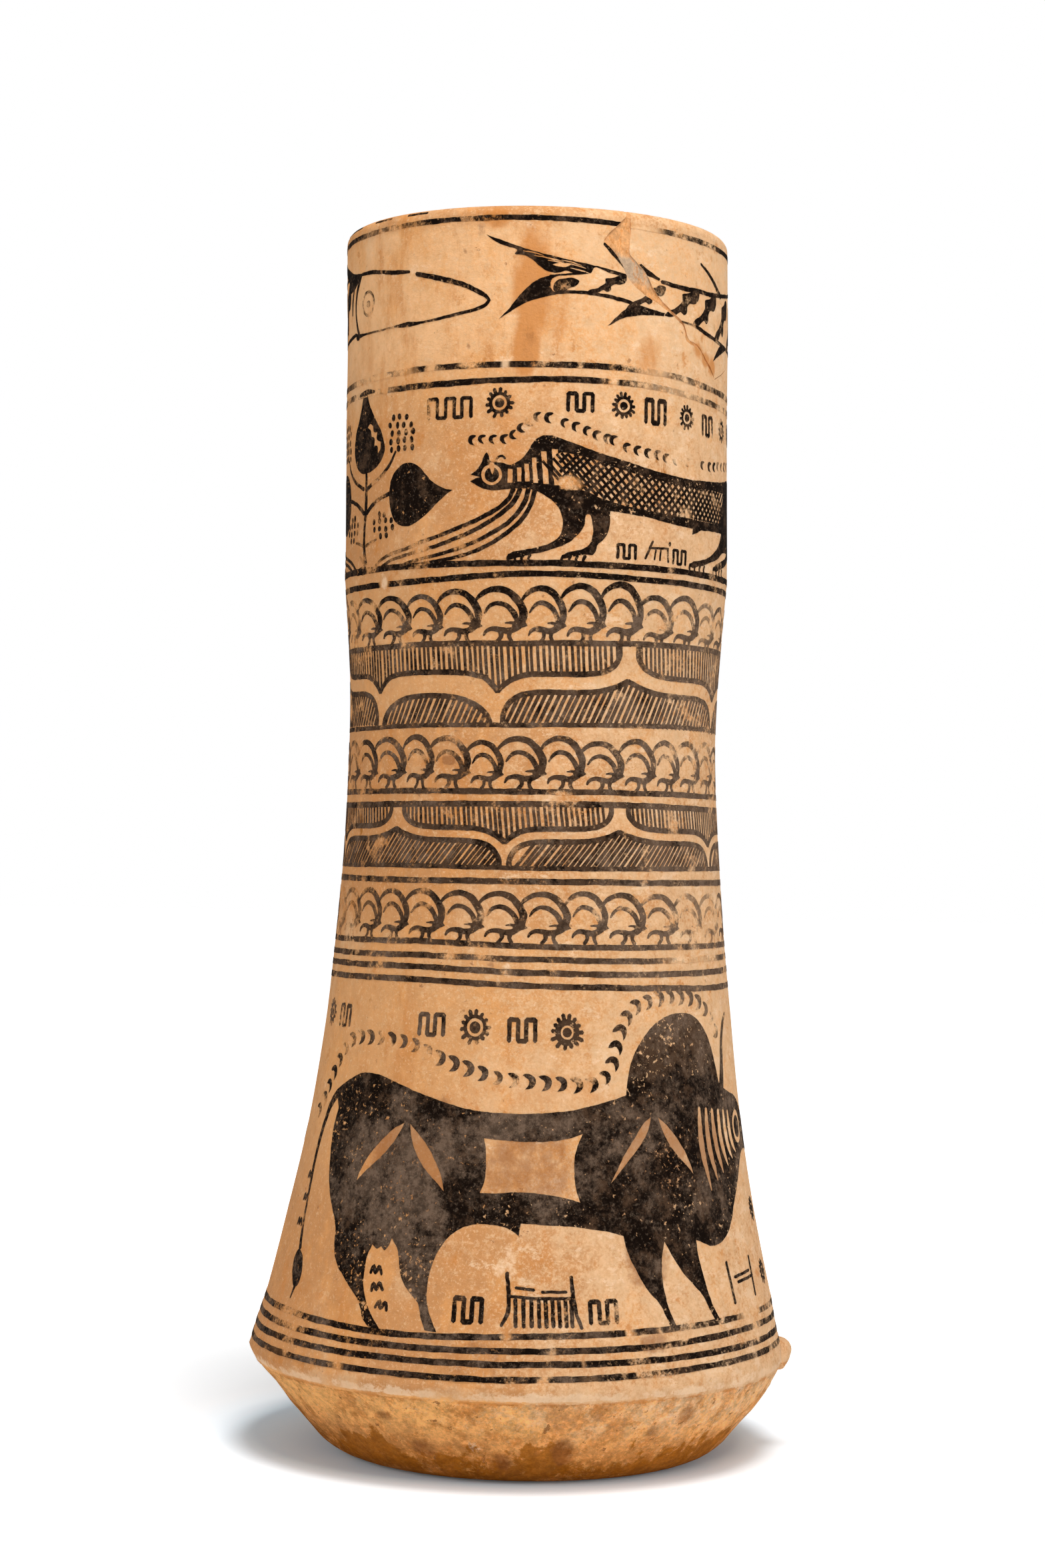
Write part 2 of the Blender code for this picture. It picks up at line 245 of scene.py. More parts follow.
def add_tint(mesh):
    """Writes the stain attribute of a wall piece from where its points lie."""
    places = np.empty(len(mesh.vertices) * 3)
    mesh.vertices.foreach_get("co", places)
    places = places.reshape(-1, 3) / MM
    tint = spot_tint(np.arctan2(places[:, 0], -places[:, 1]), places[:, 2])
    layer = mesh.attributes.new("tint", "FLOAT_COLOR", "POINT")
    layer.data.foreach_set("color", tint.ravel())


# Turned pieces, and the steps between their rows outside, inside and over the floor and the foot
OUTER_STEP = 2.0
INNER_STEP = 3.5
FLOOR_STEP = 9


def turned(name, profile, steps, swell, closed=True):
    """A turned mesh. The profile of (radius, z) runs down the outer side and up the inner one,
    and swell gives how far the surface stands out at angles, radii and heights."""
    profile = np.array(profile, float)
    rows = len(profile)
    angle = np.arange(steps)[:, None] * math.tau / steps
    radius, z = profile[None, :, 0], profile[None, :, 1]
    out = np.where(radius > 0.01, radius + swell(angle, radius, z), 0.0)
    height = np.broadcast_to(z, out.shape)
    points = np.stack([out * np.sin(angle), -out * np.cos(angle), height], -1).reshape(-1, 3) * MM
    faces = []
    for i in range(steps):
        here, there = i * rows, (i + 1) % steps * rows
        for j in range(rows if closed else rows - 1):
            k = (j + 1) % rows
            faces.append((here + j, here + k, there + k, there + j))
    mesh = welded(new_mesh(name, points, faces))
    add_tint(mesh)
    return mesh


def evenly(low, high, step):
    return np.linspace(low, high, max(2, round(abs(high - low) / step) + 1))


def finger_ridges(angle, z):
    """Ridges that the potter's fingers left inside."""
    return 0.45 * np.sin(z * math.tau / 13 + 1.3 * np.sin(angle)) + 0.3 * waves(angle, z, 9)


def wall_swell(angle, radius, z):
    """Sway of the outside and ridges of the inside, told apart by the radius."""
    inside = radius < wall_radius(z) - WALL_THICKNESS / 2
    return sway(angle, z) + np.where(inside, finger_ridges(angle, z), 0.0)


def flank_points(steps=14):
    """Outer flank of the base, from the seam under the carination down to the flat of the foot."""
    seam = np.array((CARINATION_RADIUS - CARINATION_OVERHANG, BASE_SEAM))
    corner = np.array((BASE_CORNER_RADIUS, 0.0))
    along = (seam - corner) / np.linalg.norm(seam - corner)
    setback = FOOT_ROUND * math.tan(math.atan2(along[1], along[0]) / 2)
    flank_foot = corner + along * setback
    flat = corner - (setback, 0)
    points = []
    for t in np.linspace(0, 1, steps, endpoint=False):
        swell = FLANK_BULGE * 4 * t * (1 - t)
        points.append(seam + (flank_foot - seam) * t + (along[1] * swell, -along[0] * swell))
    for t in np.linspace(0, 1, steps):
        points.append(flank_foot * (1 - t) ** 2 + corner * 2 * t * (1 - t) + flat * t * t)
    return points


def base_swell(angle, radius, z):
    """The base was scraped by hand and is pitted."""
    amount = np.clip((radius - 60) / 30, 0, 1)
    lean = np.interp(z, *zip(*LEAN)) * np.sin(angle)
    tuck = 0.6 + 1.5 * np.clip((26 - z) / 18, 0, 1)
    return amount * (lean - tuck + 0.3 * waves(angle, z * 4, 21) + 0.25 * waves(angle * 13, z * 9, 23))


# Outlines of paint


def smooth_path(points, corners=(), closed=False, step=OUTLINE_STEP):
    """A smooth path through given points, sampled at about one step."""
    points = np.array(points, float)
    count = len(points)
    after = np.roll(points, -1, axis=0)
    chord = np.maximum(np.hypot(*(after - points)[:, :2].T), 1e-6)[:, None]
    onward = (after - points) / chord
    before, last = np.roll(onward, 1, axis=0), np.roll(chord, 1, axis=0)
    leave = (before * chord + onward * last) / (chord + last)
    arrive = leave.copy()
    for i in corners:
        leave[i], arrive[i] = onward[i], before[i]
    if not closed:
        leave[0], arrive[-1] = onward[0], before[-1]
    made = []
    for i in range(count if closed else count - 1):
        j = (i + 1) % count
        pieces = max(1, round(chord[i, 0] / step))
        t = np.arange(pieces)[:, None] / pieces
        made.append((1 + 2 * t) * (1 - t) ** 2 * points[i] + t * t * (3 - 2 * t) * points[j]
                    + chord[i] * (t * (1 - t) ** 2 * leave[i] + t * t * (t - 1) * arrive[j]))
    if not closed:
        made.append(points[-1:])
    return np.vstack(made)


def blot(points, ink=1.0, step=OUTLINE_STEP):
    """A filled outline. A point with a third value is a corner."""
    corners = [i for i, p in enumerate(points) if len(p) > 2]
    return smooth_path([p[:2] for p in points], corners, True, step), ink


def bare(points):
    """An outline that the painter left in bare clay."""
    return blot(points, RESERVE)


def stroke(points, ink=1.0, step=OUTLINE_STEP):
    """A brush stroke through points of x, z and width."""
    path = smooth_path(points, step=step)
    along = np.gradient(path[:, :2], axis=0)
    along /= np.maximum(np.linalg.norm(along, axis=1), 1e-9)[:, None]
    side = np.stack([-along[:, 1], along[:, 0]], 1) * path[:, 2:] / 2
    end = path[-1, :2] + along[-1] * path[-1, 2] * 0.4
    start = path[0, :2] - along[0] * path[0, 2] * 0.4
    left, right = path[:, :2] + side, path[:, :2] - side
    return np.vstack([left, end, right[::-1], start]), ink


def line(points, width, ink=1.0):
    """A stroke of one width."""
    return stroke([(x, z, width) for x, z in points], ink)


def disc(x, z, wide, tall=None, ink=1.0, points=12):
    turn = np.arange(points) * math.tau / points
    tall = wide if tall is None else tall
    return np.stack([x + wide * np.cos(turn), z + tall * np.sin(turn)], 1), ink


def shifted(shapes, shift):
    return [(outline + (shift, 0), ink) for outline, ink in shapes]


def mirrored(shapes, axis):
    return [(outline * (-1, 1) + (2 * axis, 0), ink) for outline, ink in shapes]


def rough(outline, amount, seed):
    """The outline with the small unevenness of a brush on clay."""
    made = np.empty_like(outline)
    for i, (x, z) in enumerate(outline):
        slow = noise.noise_vector(Vector((x * 0.33, z * 0.33, seed)))
        quick = noise.noise_vector(Vector((x * 1.1, z * 1.1, seed + 7)))
        made[i] = x + amount * (slow.x + 0.6 * quick.x), z + amount * (slow.y + 0.6 * quick.y)
    return made


def lies_inside(points, outline):
    """Which points lie inside a closed outline."""
    found = np.zeros(len(points), bool)
    near = np.flatnonzero(((points >= outline.min(0)) & (points <= outline.max(0))).all(1))
    ax, az = outline.T
    bx, bz = np.roll(outline, -1, axis=0).T
    for part in np.array_split(near, len(near) // 2000 + 1):
        px, pz = points[part, :1], points[part, 1:]
        side = (bx - ax) * (pz - az) - (px - ax) * (bz - az)
        up = (az <= pz) & (bz > pz) & (side > 0)
        down = (bz <= pz) & (az > pz) & (side < 0)
        found[part] = up.sum(1) != down.sum(1)
    return found


def fill_outlines(shapes, grid):
    """Triangles that fill the shapes, painted one over the other, with the ink of each."""
    coords, edges = [], []
    for outline, _ in shapes:
        first, count = len(coords), len(outline)
        coords += [Vector(p) for p in outline]
        edges += [(first + i, first + (i + 1) % count) for i in range(count)]
    coords += [Vector(p) for p in grid]
    found = delaunay_2d_cdt(coords, edges, [], 0, 1e-4, False)
    points, faces = np.array([tuple(p) for p in found[0]]), np.array(found[2])
    a, b, c = (points[faces[:, i]] for i in range(3))
    area = (b - a)[:, 0] * (c - a)[:, 1] - (b - a)[:, 1] * (c - a)[:, 0]
    faces[area < 0] = faces[area < 0][:, ::-1]
    middle = points[faces].mean(1)
    ink = np.zeros(len(faces))
    for outline, value in shapes:
        ink[lies_inside(middle, outline)] = value
    kept = (ink > 0) & (np.abs(area) > 1e-5)
    faces, ink = faces[kept], ink[kept]
    used, faces = np.unique(faces, return_inverse=True)
    return points[used], faces.reshape(-1, 3), ink


def thicken(name, points, faces, top, bottom, open_ends=None):
    """A closed mesh between two surfaces that share the flat triangles."""
    count = len(points)
    rim = {}
    for face in faces:
        for i in range(3):
            side = (face[i], face[(i + 1) % 3])
            if side[::-1] in rim:
                del rim[side[::-1]]
            else:
                rim[side] = True
    made = [tuple(f) for f in faces] + [tuple(f[::-1] + count) for f in faces]
    for a, b in rim:
        if open_ends is None or not (open_ends[a] and open_ends[b]):
            made.append((b, a, a + count, b + count))
    return new_mesh(name, np.vstack([top, bottom]), made), rim


def worn_away(points, worn):
    """Share of ink left at points. A worn place is x, z, half width, half height and loss."""
    left = np.ones(len(points))
    for x, z, wide, tall, loss in worn:
        away = np.hypot((points[:, 0] - x) / wide, (points[:, 1] - z) / tall)
        left *= 1 - loss * np.clip(1.6 - away, 0, 1)
    return left


def paint(name, shapes, radius, worn=(), raggedness=0.22):
    """One painted piece: shapes on the unrolled wall, wrapped on it as a thin skin of slip."""
    look = bpy.context.scene.jar_look
    seed = sum(map(ord, name)) % 97
    shapes = [(rough(outline, raggedness, seed), ink) for outline, ink in shapes]
    everywhere = np.vstack([outline for outline, _ in shapes])
    low, high = everywhere.min(0), everywhere.max(0)
    grid = np.stack(np.meshgrid(np.arange(low[0], high[0], GRID_STEP),
                                np.arange(low[1], high[1], GRID_STEP)), -1).reshape(-1, 2)
    held = np.zeros(len(grid), bool)
    for outline, ink in shapes:
        held[lies_inside(grid, outline)] = ink > 0
    points, faces, ink = fill_outlines(shapes, grid[held])
    angle, z = points[:, 0] / radius, points[:, 1]
    top = on_wall(angle, z, look.slip_lift / MM)
    bottom = on_wall(angle, z, -look.slip_sink / MM)
    mesh, rim = thicken(name, points, faces, top, bottom)
    strength = np.zeros(len(points))
    np.maximum.at(strength, faces.ravel(), np.repeat(ink, 3))
    strength[[a for a, _ in rim]] *= 0.86
    strength *= worn_away(points, worn)
    layer = mesh.attributes.new("ink", "FLOAT", "POINT")
    layer.data.foreach_set("value", np.tile(strength, 2))
    layer = mesh.attributes.new("tint", "FLOAT_COLOR", "POINT")
    layer.data.foreach_set("color", np.tile(spot_tint(angle, z), (2, 1)).ravel())
    return place_piece(name, mesh, slip_material(), "black_slip")


# Repeated marks


def stamp_tree():
    """Node tree that sets a mark on every point, at the point's own stretch and turn."""
    name = "stamp_marks"
    if name in bpy.data.node_groups:
        return bpy.data.node_groups[name]
    tree = bpy.data.node_groups.new(name, "GeometryNodeTree")
    face, nodes, links = tree.interface, tree.nodes, tree.links
    face.new_socket("Geometry", in_out="INPUT", socket_type="NodeSocketGeometry")
    face.new_socket("Mark", in_out="INPUT", socket_type="NodeSocketObject")
    face.new_socket("Slip", in_out="INPUT", socket_type="NodeSocketMaterial")
    face.new_socket("Geometry", in_out="OUTPUT", socket_type="NodeSocketGeometry")
    given, result = nodes.new("NodeGroupInput"), nodes.new("NodeGroupOutput")
    mark, stamped = nodes.new("GeometryNodeObjectInfo"), nodes.new("GeometryNodeInstanceOnPoints")
    real, finish = nodes.new("GeometryNodeRealizeInstances"), nodes.new("GeometryNodeSetMaterial")
    links.new(given.outputs["Mark"], mark.inputs["Object"])
    links.new(given.outputs["Geometry"], stamped.inputs["Points"])
    links.new(mark.outputs["Geometry"], stamped.inputs["Instance"])
    for attribute, socket in (("stretch", "Scale"), ("turn", "Rotation")):
        value = nodes.new("GeometryNodeInputNamedAttribute")
        value.data_type = "FLOAT_VECTOR"
        value.inputs["Name"].default_value = attribute
        links.new(value.outputs["Attribute"], stamped.inputs[socket])
    links.new(stamped.outputs["Instances"], real.inputs["Geometry"])
    links.new(real.outputs["Geometry"], finish.inputs["Geometry"])
    links.new(given.outputs["Slip"], finish.inputs["Material"])
    links.new(finish.outputs["Geometry"], result.inputs["Geometry"])
    return tree


def stamp(mark, places):
    """Outlines of a mark of several shapes, repeated by the stamp tree. A place is x, z, the
    stretch across and up, the turn in degrees and the ink."""
    drawn = bpy.data.meshes.new("mark")
    outlines = [outline for outline, _ in mark]
    ends = np.cumsum([len(outline) for outline in outlines])
    edges = []
    for outline, end in zip(outlines, ends):
        first = end - len(outline)
        edges += [(first + i, first + (i + 1) % len(outline)) for i in range(len(outline))]
    drawn.from_pydata([(x, z, 0) for x, z in np.vstack(outlines)], edges, [])
    points = bpy.data.meshes.new("places")
    points.from_pydata([(p[0], p[1], 0) for p in places], [], [])
    stretch = points.attributes.new("stretch", "FLOAT_VECTOR", "POINT")
    stretch.data.foreach_set("vector", [v for p in places for v in (p[2], p[3], 1)])
    turn = points.attributes.new("turn", "FLOAT_VECTOR", "POINT")
    turn.data.foreach_set("vector", [v for p in places for v in (0, 0, math.radians(p[4]))])
    mark_object = bpy.data.objects.new("mark", drawn)
    carrier = bpy.data.objects.new("places", points)
    for made in (mark_object, carrier):
        bpy.context.scene.collection.objects.link(made)
    tree = stamp_tree()
    step = carrier.modifiers.new("Stamp", "NODES")
    step.node_group = tree
    for item in tree.interface.items_tree:
        if item.in_out == "INPUT" and item.name == "Mark":
            step[item.identifier] = mark_object
        if item.in_out == "INPUT" and item.name == "Slip":
            step[item.identifier] = slip_material()
    bpy.context.view_layer.update()
    shown = carrier.evaluated_get(bpy.context.evaluated_depsgraph_get())
    result = bpy.data.meshes.new_from_object(shown)
    found = np.empty(len(result.vertices) * 3)
    result.vertices.foreach_get("co", found)
    found = found.reshape(len(places), -1, 3)[:, :, :2]
    for made in (mark_object, carrier):
        bpy.data.objects.remove(made)
    shapes = []
    for place, corners in zip(places, found):
        for end, (outline, ink) in zip(ends, mark):
            shapes.append((corners[end - len(outline):end].copy(), ink * place[5]))
    return shapes


# Finishes


class Finish:
    """One material's node tree, with short names for the nodes that the finishes need."""

    def __init__(self, name):
        self.material = bpy.data.materials.new(name)
        self.material.use_nodes = True
        self.tree = self.material.node_tree
        self.shader = self.tree.nodes["Principled BSDF"]
        self.place = self.node("ShaderNodeTexCoord").outputs["Object"]
        parts = self.node("ShaderNodeSeparateXYZ", {0: self.place}).outputs
        self.x, self.z = parts["X"], parts["Z"]

    def node(self, kind, inputs=(), **settings):
        made = self.tree.nodes.new(kind)
        for key, value in settings.items():
            setattr(made, key, value)
        for key, value in dict(inputs).items():
            if isinstance(value, bpy.types.NodeSocket):
                self.tree.links.new(value, made.inputs[key])
            else:
                made.inputs[key].default_value = value
        return made

    def noise(self, scale, detail=3.0, roughness=0.55, stretch=(1, 1, 1)):
        place = self.node("ShaderNodeMapping", {"Vector": self.place, "Scale": stretch})
        inputs = {"Vector": place.outputs[0], "Scale": scale, "Detail": detail, "Roughness": roughness}
        return self.node("ShaderNodeTexNoise", inputs).outputs[0]

    def between(self, value, low, high, to_low=0.0, to_high=1.0, way="SMOOTHSTEP"):
        """The value brought from one range to another, and held at its ends."""
        inputs = {"Value": value, "From Min": low, "From Max": high, "To Min": to_low, "To Max": to_high}
        return self.node("ShaderNodeMapRange", inputs, interpolation_type=way).outputs[0]

    def math(self, operation, a, b=0.0, clamp=False):
        made = self.node("ShaderNodeMath", {0: a, 1: b}, operation=operation, use_clamp=clamp)
        return made.outputs[0]

    def plus(self, a, b):
        return self.math("ADD", a, b)

    def minus(self, a, b):
        return self.math("SUBTRACT", a, b)

    def times(self, a, b):
        return self.math("MULTIPLY", a, b)

    def away(self, value, middle=0.0):
        """How far a value is from a middle."""
        return self.math("ABSOLUTE", self.minus(value, middle))

    def near(self, value, middle, reach, strength=1.0):
        """Strongest at the middle and gone at the reach."""
        return self.between(self.away(value, middle), 0.0, reach, strength, 0.0)

    def mix(self, share, a, b, blend="MIX"):
        inputs = {0: share, 6: a, 7: b}
        return self.node("ShaderNodeMix", inputs, data_type="RGBA", blend_type=blend).outputs[2]

    def attribute(self, name):
        return self.node("ShaderNodeAttribute", attribute_name=name)

    def link(self, output, key):
        self.tree.links.new(output, self.shader.inputs[key])

    def set(self, key, value):
        self.shader.inputs[key].default_value = value

    def bump(self, height, distance, strength=1.0):
        inputs = {"Height": height, "Distance": distance, "Strength": strength}
        self.link(self.node("ShaderNodeBump", inputs).outputs[0], "Normal")


def rgba(colour):
    return tuple(colour) + (1.0,)


# Tones of the clay, as a share of the jar's height and a colour. The tan of the last step is painted shade
# on the top of the lip
CLAY_TONES = (
    (0.0, "clay_burnt"), (0.015, "clay_burnt"), (0.034, "clay_warm"), (0.054, "clay_gold"),
    (0.07, "clay_gold"), (0.078, "clay_tan"), (0.19, "clay_tan"), (0.27, "clay_fair"), (0.40, "clay_fair"),
    (0.46, "clay_tan"), (0.58, "clay_tan"), (0.61, "clay_fair"), (0.705, "clay_fair"), (0.725, "clay_tan"),
    (0.79, "clay_tan"), (0.85, "clay_fair"), (0.895, "clay_pale"), (0.982, "clay_pale"),
    (0.993, "clay_tan"),
)
# Layers over the clay's tone, as the scale, detail, roughness and stretch of a noise, where the layer
# begins and is full on it, its greatest share and its colour
CLAY_LAYERS = (
    (24, 7, 0.7, (1, 1, 1), 0.48, 0.62, 0.45, "clay_cream"),
    (33, 7, 0.7, (1.1, 1.1, 0.7), 0.48, 0.62, 0.65, "clay_warm"),
    (43, 8, 0.74, (1, 1, 0.25), 0.52, 0.66, 0.6, "rust"),
    (120, 8, 0.78, (1, 1, 1), 0.52, 0.62, 0.45, "clay_cream"),
    (150, 8, 0.78, (1.2, 1.2, 0.8), 0.53, 0.66, 0.35, "rust"),
    (75, 8, 0.8, (1, 1, 1.7), 0.60, 0.65, 0.7, "chip"),
    (330, 6, 0.72, (1, 1, 1), 0.52, 0.62, 0.5, "clay_cream"),
    (800, 4, 0.65, (1, 1, 1), 0.51, 0.64, 0.6, "clay_cream"),
    (210, 5, 0.66, (1, 1, 1), 0.67, 0.70, 0.6, "stain"),
)
# Layers of the scraped base: rough orange skin, golden grains and pits
BASE_LAYERS = (
    (48, 6, 0.66, (1, 1, 0.55), 0.52, 0.58, 0.55, "rust"),
    (90, 8, 0.8, (1, 1, 0.7), 0.52, 0.58, 0.6, "rust"),
    (300, 6, 0.75, (1, 1, 1), 0.49, 0.60, 0.45, "clay_gold"),
    (150, 6, 0.7, (1, 1, 1), 0.615, 0.645, 0.8, "stain"),
)


def clay_colour(finish, look, layers=CLAY_LAYERS):
    """Fired clay: its tone by height, clouds, runs of rust, flakes, specks and stains, with painted light
    on its right side, a painted highlight and shadow at the ledge and painted shade on the top of the lip.
    The second output is the relief of the surface."""
    height = finish.math("DIVIDE", finish.z, RIM_TOP * MM)
    drift = finish.times(finish.minus(finish.noise(14, 5, 0.65), 0.5), 0.03)
    tone = finish.node("ShaderNodeValToRGB", {0: finish.plus(height, drift)})
    stops = tone.color_ramp.elements
    while len(stops) < len(CLAY_TONES):
        stops.new(0.5)
    for stop, (position, name) in zip(stops, CLAY_TONES):
        stop.position = position
        stop.color = rgba(getattr(look, name))
    colour = tone.outputs[0]

    def laid(value, low, high, share, over):
        """The colour so far with another one over it, where value is high."""
        return finish.mix(finish.between(value, low, high, 0.0, share), colour, rgba(over))

    # Painted light: cream and chips show more on the right side and less on the left; at the foot they show
    # less
    side = finish.between(finish.x, -0.09, 0.09, -0.055, 0.07)
    foot = finish.between(finish.z, 0.004, 0.036, -0.2, 0.0)
    for scale, detail, roughness, stretch, low, high, share, name in layers:
        value = finish.noise(scale, detail, roughness, stretch)
        if name in ("clay_cream", "chip"):
            value = finish.plus(finish.plus(value, side), foot)
        colour = laid(value, low, high, share, getattr(look, name))

    # Burnt flames at the foot; then pale chips with a painted highlight along the ledge over the base, a
    # painted shadow under the ledge in the rust colour, and a painted highlight fading above it
    flames = finish.between(finish.z, 0.008, 0.036, 0.05, -0.16)
    flames = finish.plus(finish.noise(38, 8, 0.66, (1, 1, 0.4)), flames)
    colour = laid(flames, 0.51, 0.55, 0.85, look.clay_burnt)
    # Painted highlight along the ledge's edge, mixed with pale chips
    ledge = finish.times(finish.between(finish.z, 0.0418, 0.0428),
                         finish.between(finish.z, 0.0435, 0.048, 0.19, 0.0))
    colour = laid(finish.plus(ledge, finish.noise(80, 9, 0.8)), 0.61, 0.70, 0.75, look.chip)
    # Painted shadow: a dark rust line just under the ledge
    under = finish.times(finish.between(finish.z, 0.0392, 0.0412, 0.0, 0.12),
                         finish.between(finish.z, 0.0414, 0.0420, 1.0, 0.0))
    colour = laid(finish.plus(under, finish.noise(90, 9, 0.76)), 0.57, 0.66, 0.7, look.rust)
    # Painted highlight: a pale cream band fading upwards above the ledge
    highlight_above_ledge = finish.plus(finish.between(finish.z, 0.0405, 0.0425, -0.6, 0.0),
                        finish.between(finish.z, 0.0425, 0.057, 0.12, -0.12))
    colour = laid(finish.plus(highlight_above_ledge, finish.noise(34, 9, 0.74)), 0.55, 0.68, 0.5, look.clay_cream)

    # Spots, with ragged edges
    fine = finish.noise(150, 8, 0.74)
    colour = finish.mix(1.0, colour, finish.between(fine, 0.3, 0.7, 0.92, 1.05), "MULTIPLY")
    ragged = finish.times(finish.minus(fine, 0.5), 2.4)
    streak = finish.minus(finish.noise(36, 8, 0.7, (1, 1, 0.45)), 0.5)
    blotch = finish.plus(finish.times(ragged, 0.6), finish.times(streak, 1.6))
    spots = finish.node("ShaderNodeSeparateColor", {0: finish.attribute("tint").outputs["Color"]}).outputs
    colour = laid(finish.plus(spots[1], ragged), 0.35, 0.8, 0.75, look.chip)
    colour = laid(finish.plus(spots[2], finish.times(streak, 2.6)), 0.15, 1.1, 0.85, look.rust)
    colour = laid(finish.plus(spots[0], blotch), 0.35, 0.9, 0.6, look.stain)
    return colour, finish.plus(finish.times(finish.noise(420, 6, 0.7), 0.6), fine)


def finish_of(name, build):
    """The material of that name, built once."""
    if name not in bpy.data.materials:
        finish = Finish(name)
        finish.set("Specular IOR Level", 0.16)
        build(finish, bpy.context.scene.jar_look)
    return bpy.data.materials[name]


def fired_clay(finish, look):
    colour, relief = clay_colour(finish, look)
    finish.link(colour, "Base Color")
    finish.link(finish.between(finish.noise(60, 3), 0.3, 0.7, 0.72, 0.9), "Roughness")
    finish.bump(relief, 0.0011, 0.75)


def scraped_clay(finish, look):
    """The base: the same clay, scraped, pitted and stained darker towards the foot, with painted light that
    makes its right side brighter and its left side darker.
    """
    colour, relief = clay_colour(finish, look, CLAY_LAYERS + BASE_LAYERS)
    coarse_grain = finish.between(finish.noise(130, 9, 0.85), 0.38, 0.62, 0.74, 1.19)
    fine_grain = finish.between(finish.noise(420, 5, 0.8), 0.40, 0.60, 0.92, 1.1)
    # Painted light: the base is brighter on the right and darker on the left
    side = finish.between(finish.x, -0.1, 0.1, 0.95, 1.14)
    grain_and_side_light = finish.times(finish.times(coarse_grain, fine_grain), side)
    finish.link(finish.mix(1.0, colour, grain_and_side_light, "MULTIPLY"), "Base Color")
    finish.set("Specular IOR Level", 0.05)
    finish.set("Roughness", 0.85)
    finish.bump(finish.plus(relief, finish.times(finish.noise(60, 8, 0.72), 1.4)), 0.0018, 0.9)


def worn_slip(finish, look):
    """Dark slip, thin and worn in places, so that the clay shows through it. It is browner in the rows,
    dusty on the bulls, paler with a painted sheen at the right above the bulls, and worn most at the
    flanks."""
    clay, relief = clay_colour(finish, look)
    ink = finish.attribute("ink").outputs["Fac"]
    brown_rows = finish.times(finish.between(finish.z, 0.17, 0.19, 0.0, 0.1),
                              finish.between(finish.z, 0.375, 0.385, 1.0, 0.0))
    depth = finish.between(finish.plus(finish.noise(110, 8, 0.8), brown_rows), 0.48, 0.64)
    slip = finish.mix(depth, rgba(look.slip_dark), rgba(look.slip_thin))

    # Dust, and a painted sheen that makes the slip paler on the right side above the bulls
    # This mask paints the sheen on the right side, and below it wears the foot lines
    right = finish.between(finish.x, 0.02, 0.08)
    rows = finish.between(finish.z, 0.17, 0.23, 0.0, 0.14)
    neck = finish.between(finish.z, 0.385, 0.41, 0.0, -0.28)
    smoky = finish.times(finish.near(finish.x, -0.045, 0.045, 0.09), finish.near(finish.z, 0.122, 0.045))
    dust_and_sheen = finish.plus(finish.noise(26, 10, 0.82), finish.times(right, rows))
    dust_and_sheen = finish.plus(finish.plus(dust_and_sheen, neck), smoky)
    specks = finish.between(finish.noise(230, 6, 0.82), 0.40, 0.60, 0.35, 1.0)
    dust_and_sheen = finish.times(finish.between(dust_and_sheen, 0.475, 0.60, 0.0, 0.9), specks)
    slip = finish.mix(dust_and_sheen, slip, rgba(look.slip_dust_and_sheen))
    grains = finish.between(finish.noise(700, 4, 0.65), 0.55, 0.68, 0.0, 0.22)
    slip = finish.mix(grains, slip, rgba(look.slip_grain))

    # Wear
    flank = finish.between(finish.away(finish.x), 0.025, 0.08)
    worn_rows = finish.times(finish.between(finish.z, 0.17, 0.20, 0.0, 0.22),
                             finish.between(finish.z, 0.49, 0.50, 1.0, 0.0))
    worn_foot = finish.times(right, finish.between(finish.z, 0.075, 0.085, 0.3, 0.0))
    rubbed = finish.plus(finish.times(flank, worn_rows), worn_foot)
    thin = finish.between(finish.noise(64, 8, 0.78), 0.45, 0.70, 0.0, 0.75)
    cover = finish.minus(finish.times(ink, 1.15), finish.plus(thin, rubbed))
    cluster = finish.between(finish.noise(17, 4, 0.6), 0.35, 0.65, -0.05, 0.04)
    cluster = finish.plus(cluster, finish.times(neck, 0.1))
    flake = finish.between(finish.plus(finish.noise(480, 4, 0.62), cluster), 0.615, 0.66, 0.0, 0.75)
    large_flake = finish.between(finish.plus(finish.noise(200, 7, 0.72), cluster), 0.635, 0.66, 0.0, 0.95)
    loss = finish.math("MAXIMUM", flake, large_flake)
    loss = finish.times(loss, finish.between(ink, 0.95, 1.2, 0.35, 1.0))
    cover = finish.math("SUBTRACT", finish.between(cover, 0.0, 0.6), loss, True)
    finish.link(finish.mix(cover, clay, slip), "Base Color")
    finish.link(finish.between(cover, 0.0, 1.0, 0.85, 0.74), "Roughness")
    finish.set("Specular IOR Level", 0.03)
    finish.bump(relief, 0.0011, 0.7)


def break_filler(finish, look):
    """Filler in the break: raw clay at the rim, then grey plaster, then clay again to the tip."""
    stir = finish.times(finish.minus(finish.noise(120, 4), 0.5), 0.008)
    level = finish.plus(finish.z, stir)
    grey = finish.times(finish.between(level, 0.539, 0.542, 1.0, 0.0), finish.between(level, 0.526, 0.530))
    colour = finish.mix(finish.between(level, 0.508, 0.515), rgba(look.clay_fair), rgba(look.filler_warm))
    colour = finish.mix(grey, colour, rgba(look.filler_grey))
    crack = finish.away(finish.noise(110, 5, 0.7, (1, 1, 0.4)), 0.5)
    colour = finish.mix(finish.between(crack, 0.004, 0.02, 0.7, 0.0), colour, rgba(look.rust))
    shade = finish.between(finish.noise(300, 8, 0.8), 0.35, 0.65, 0.72, 1.2)
    finish.link(finish.mix(1.0, colour, shade, "MULTIPLY"), "Base Color")
    finish.set("Roughness", 0.88)
    finish.bump(finish.noise(260, 4, 0.65), 0.0008, 0.8)


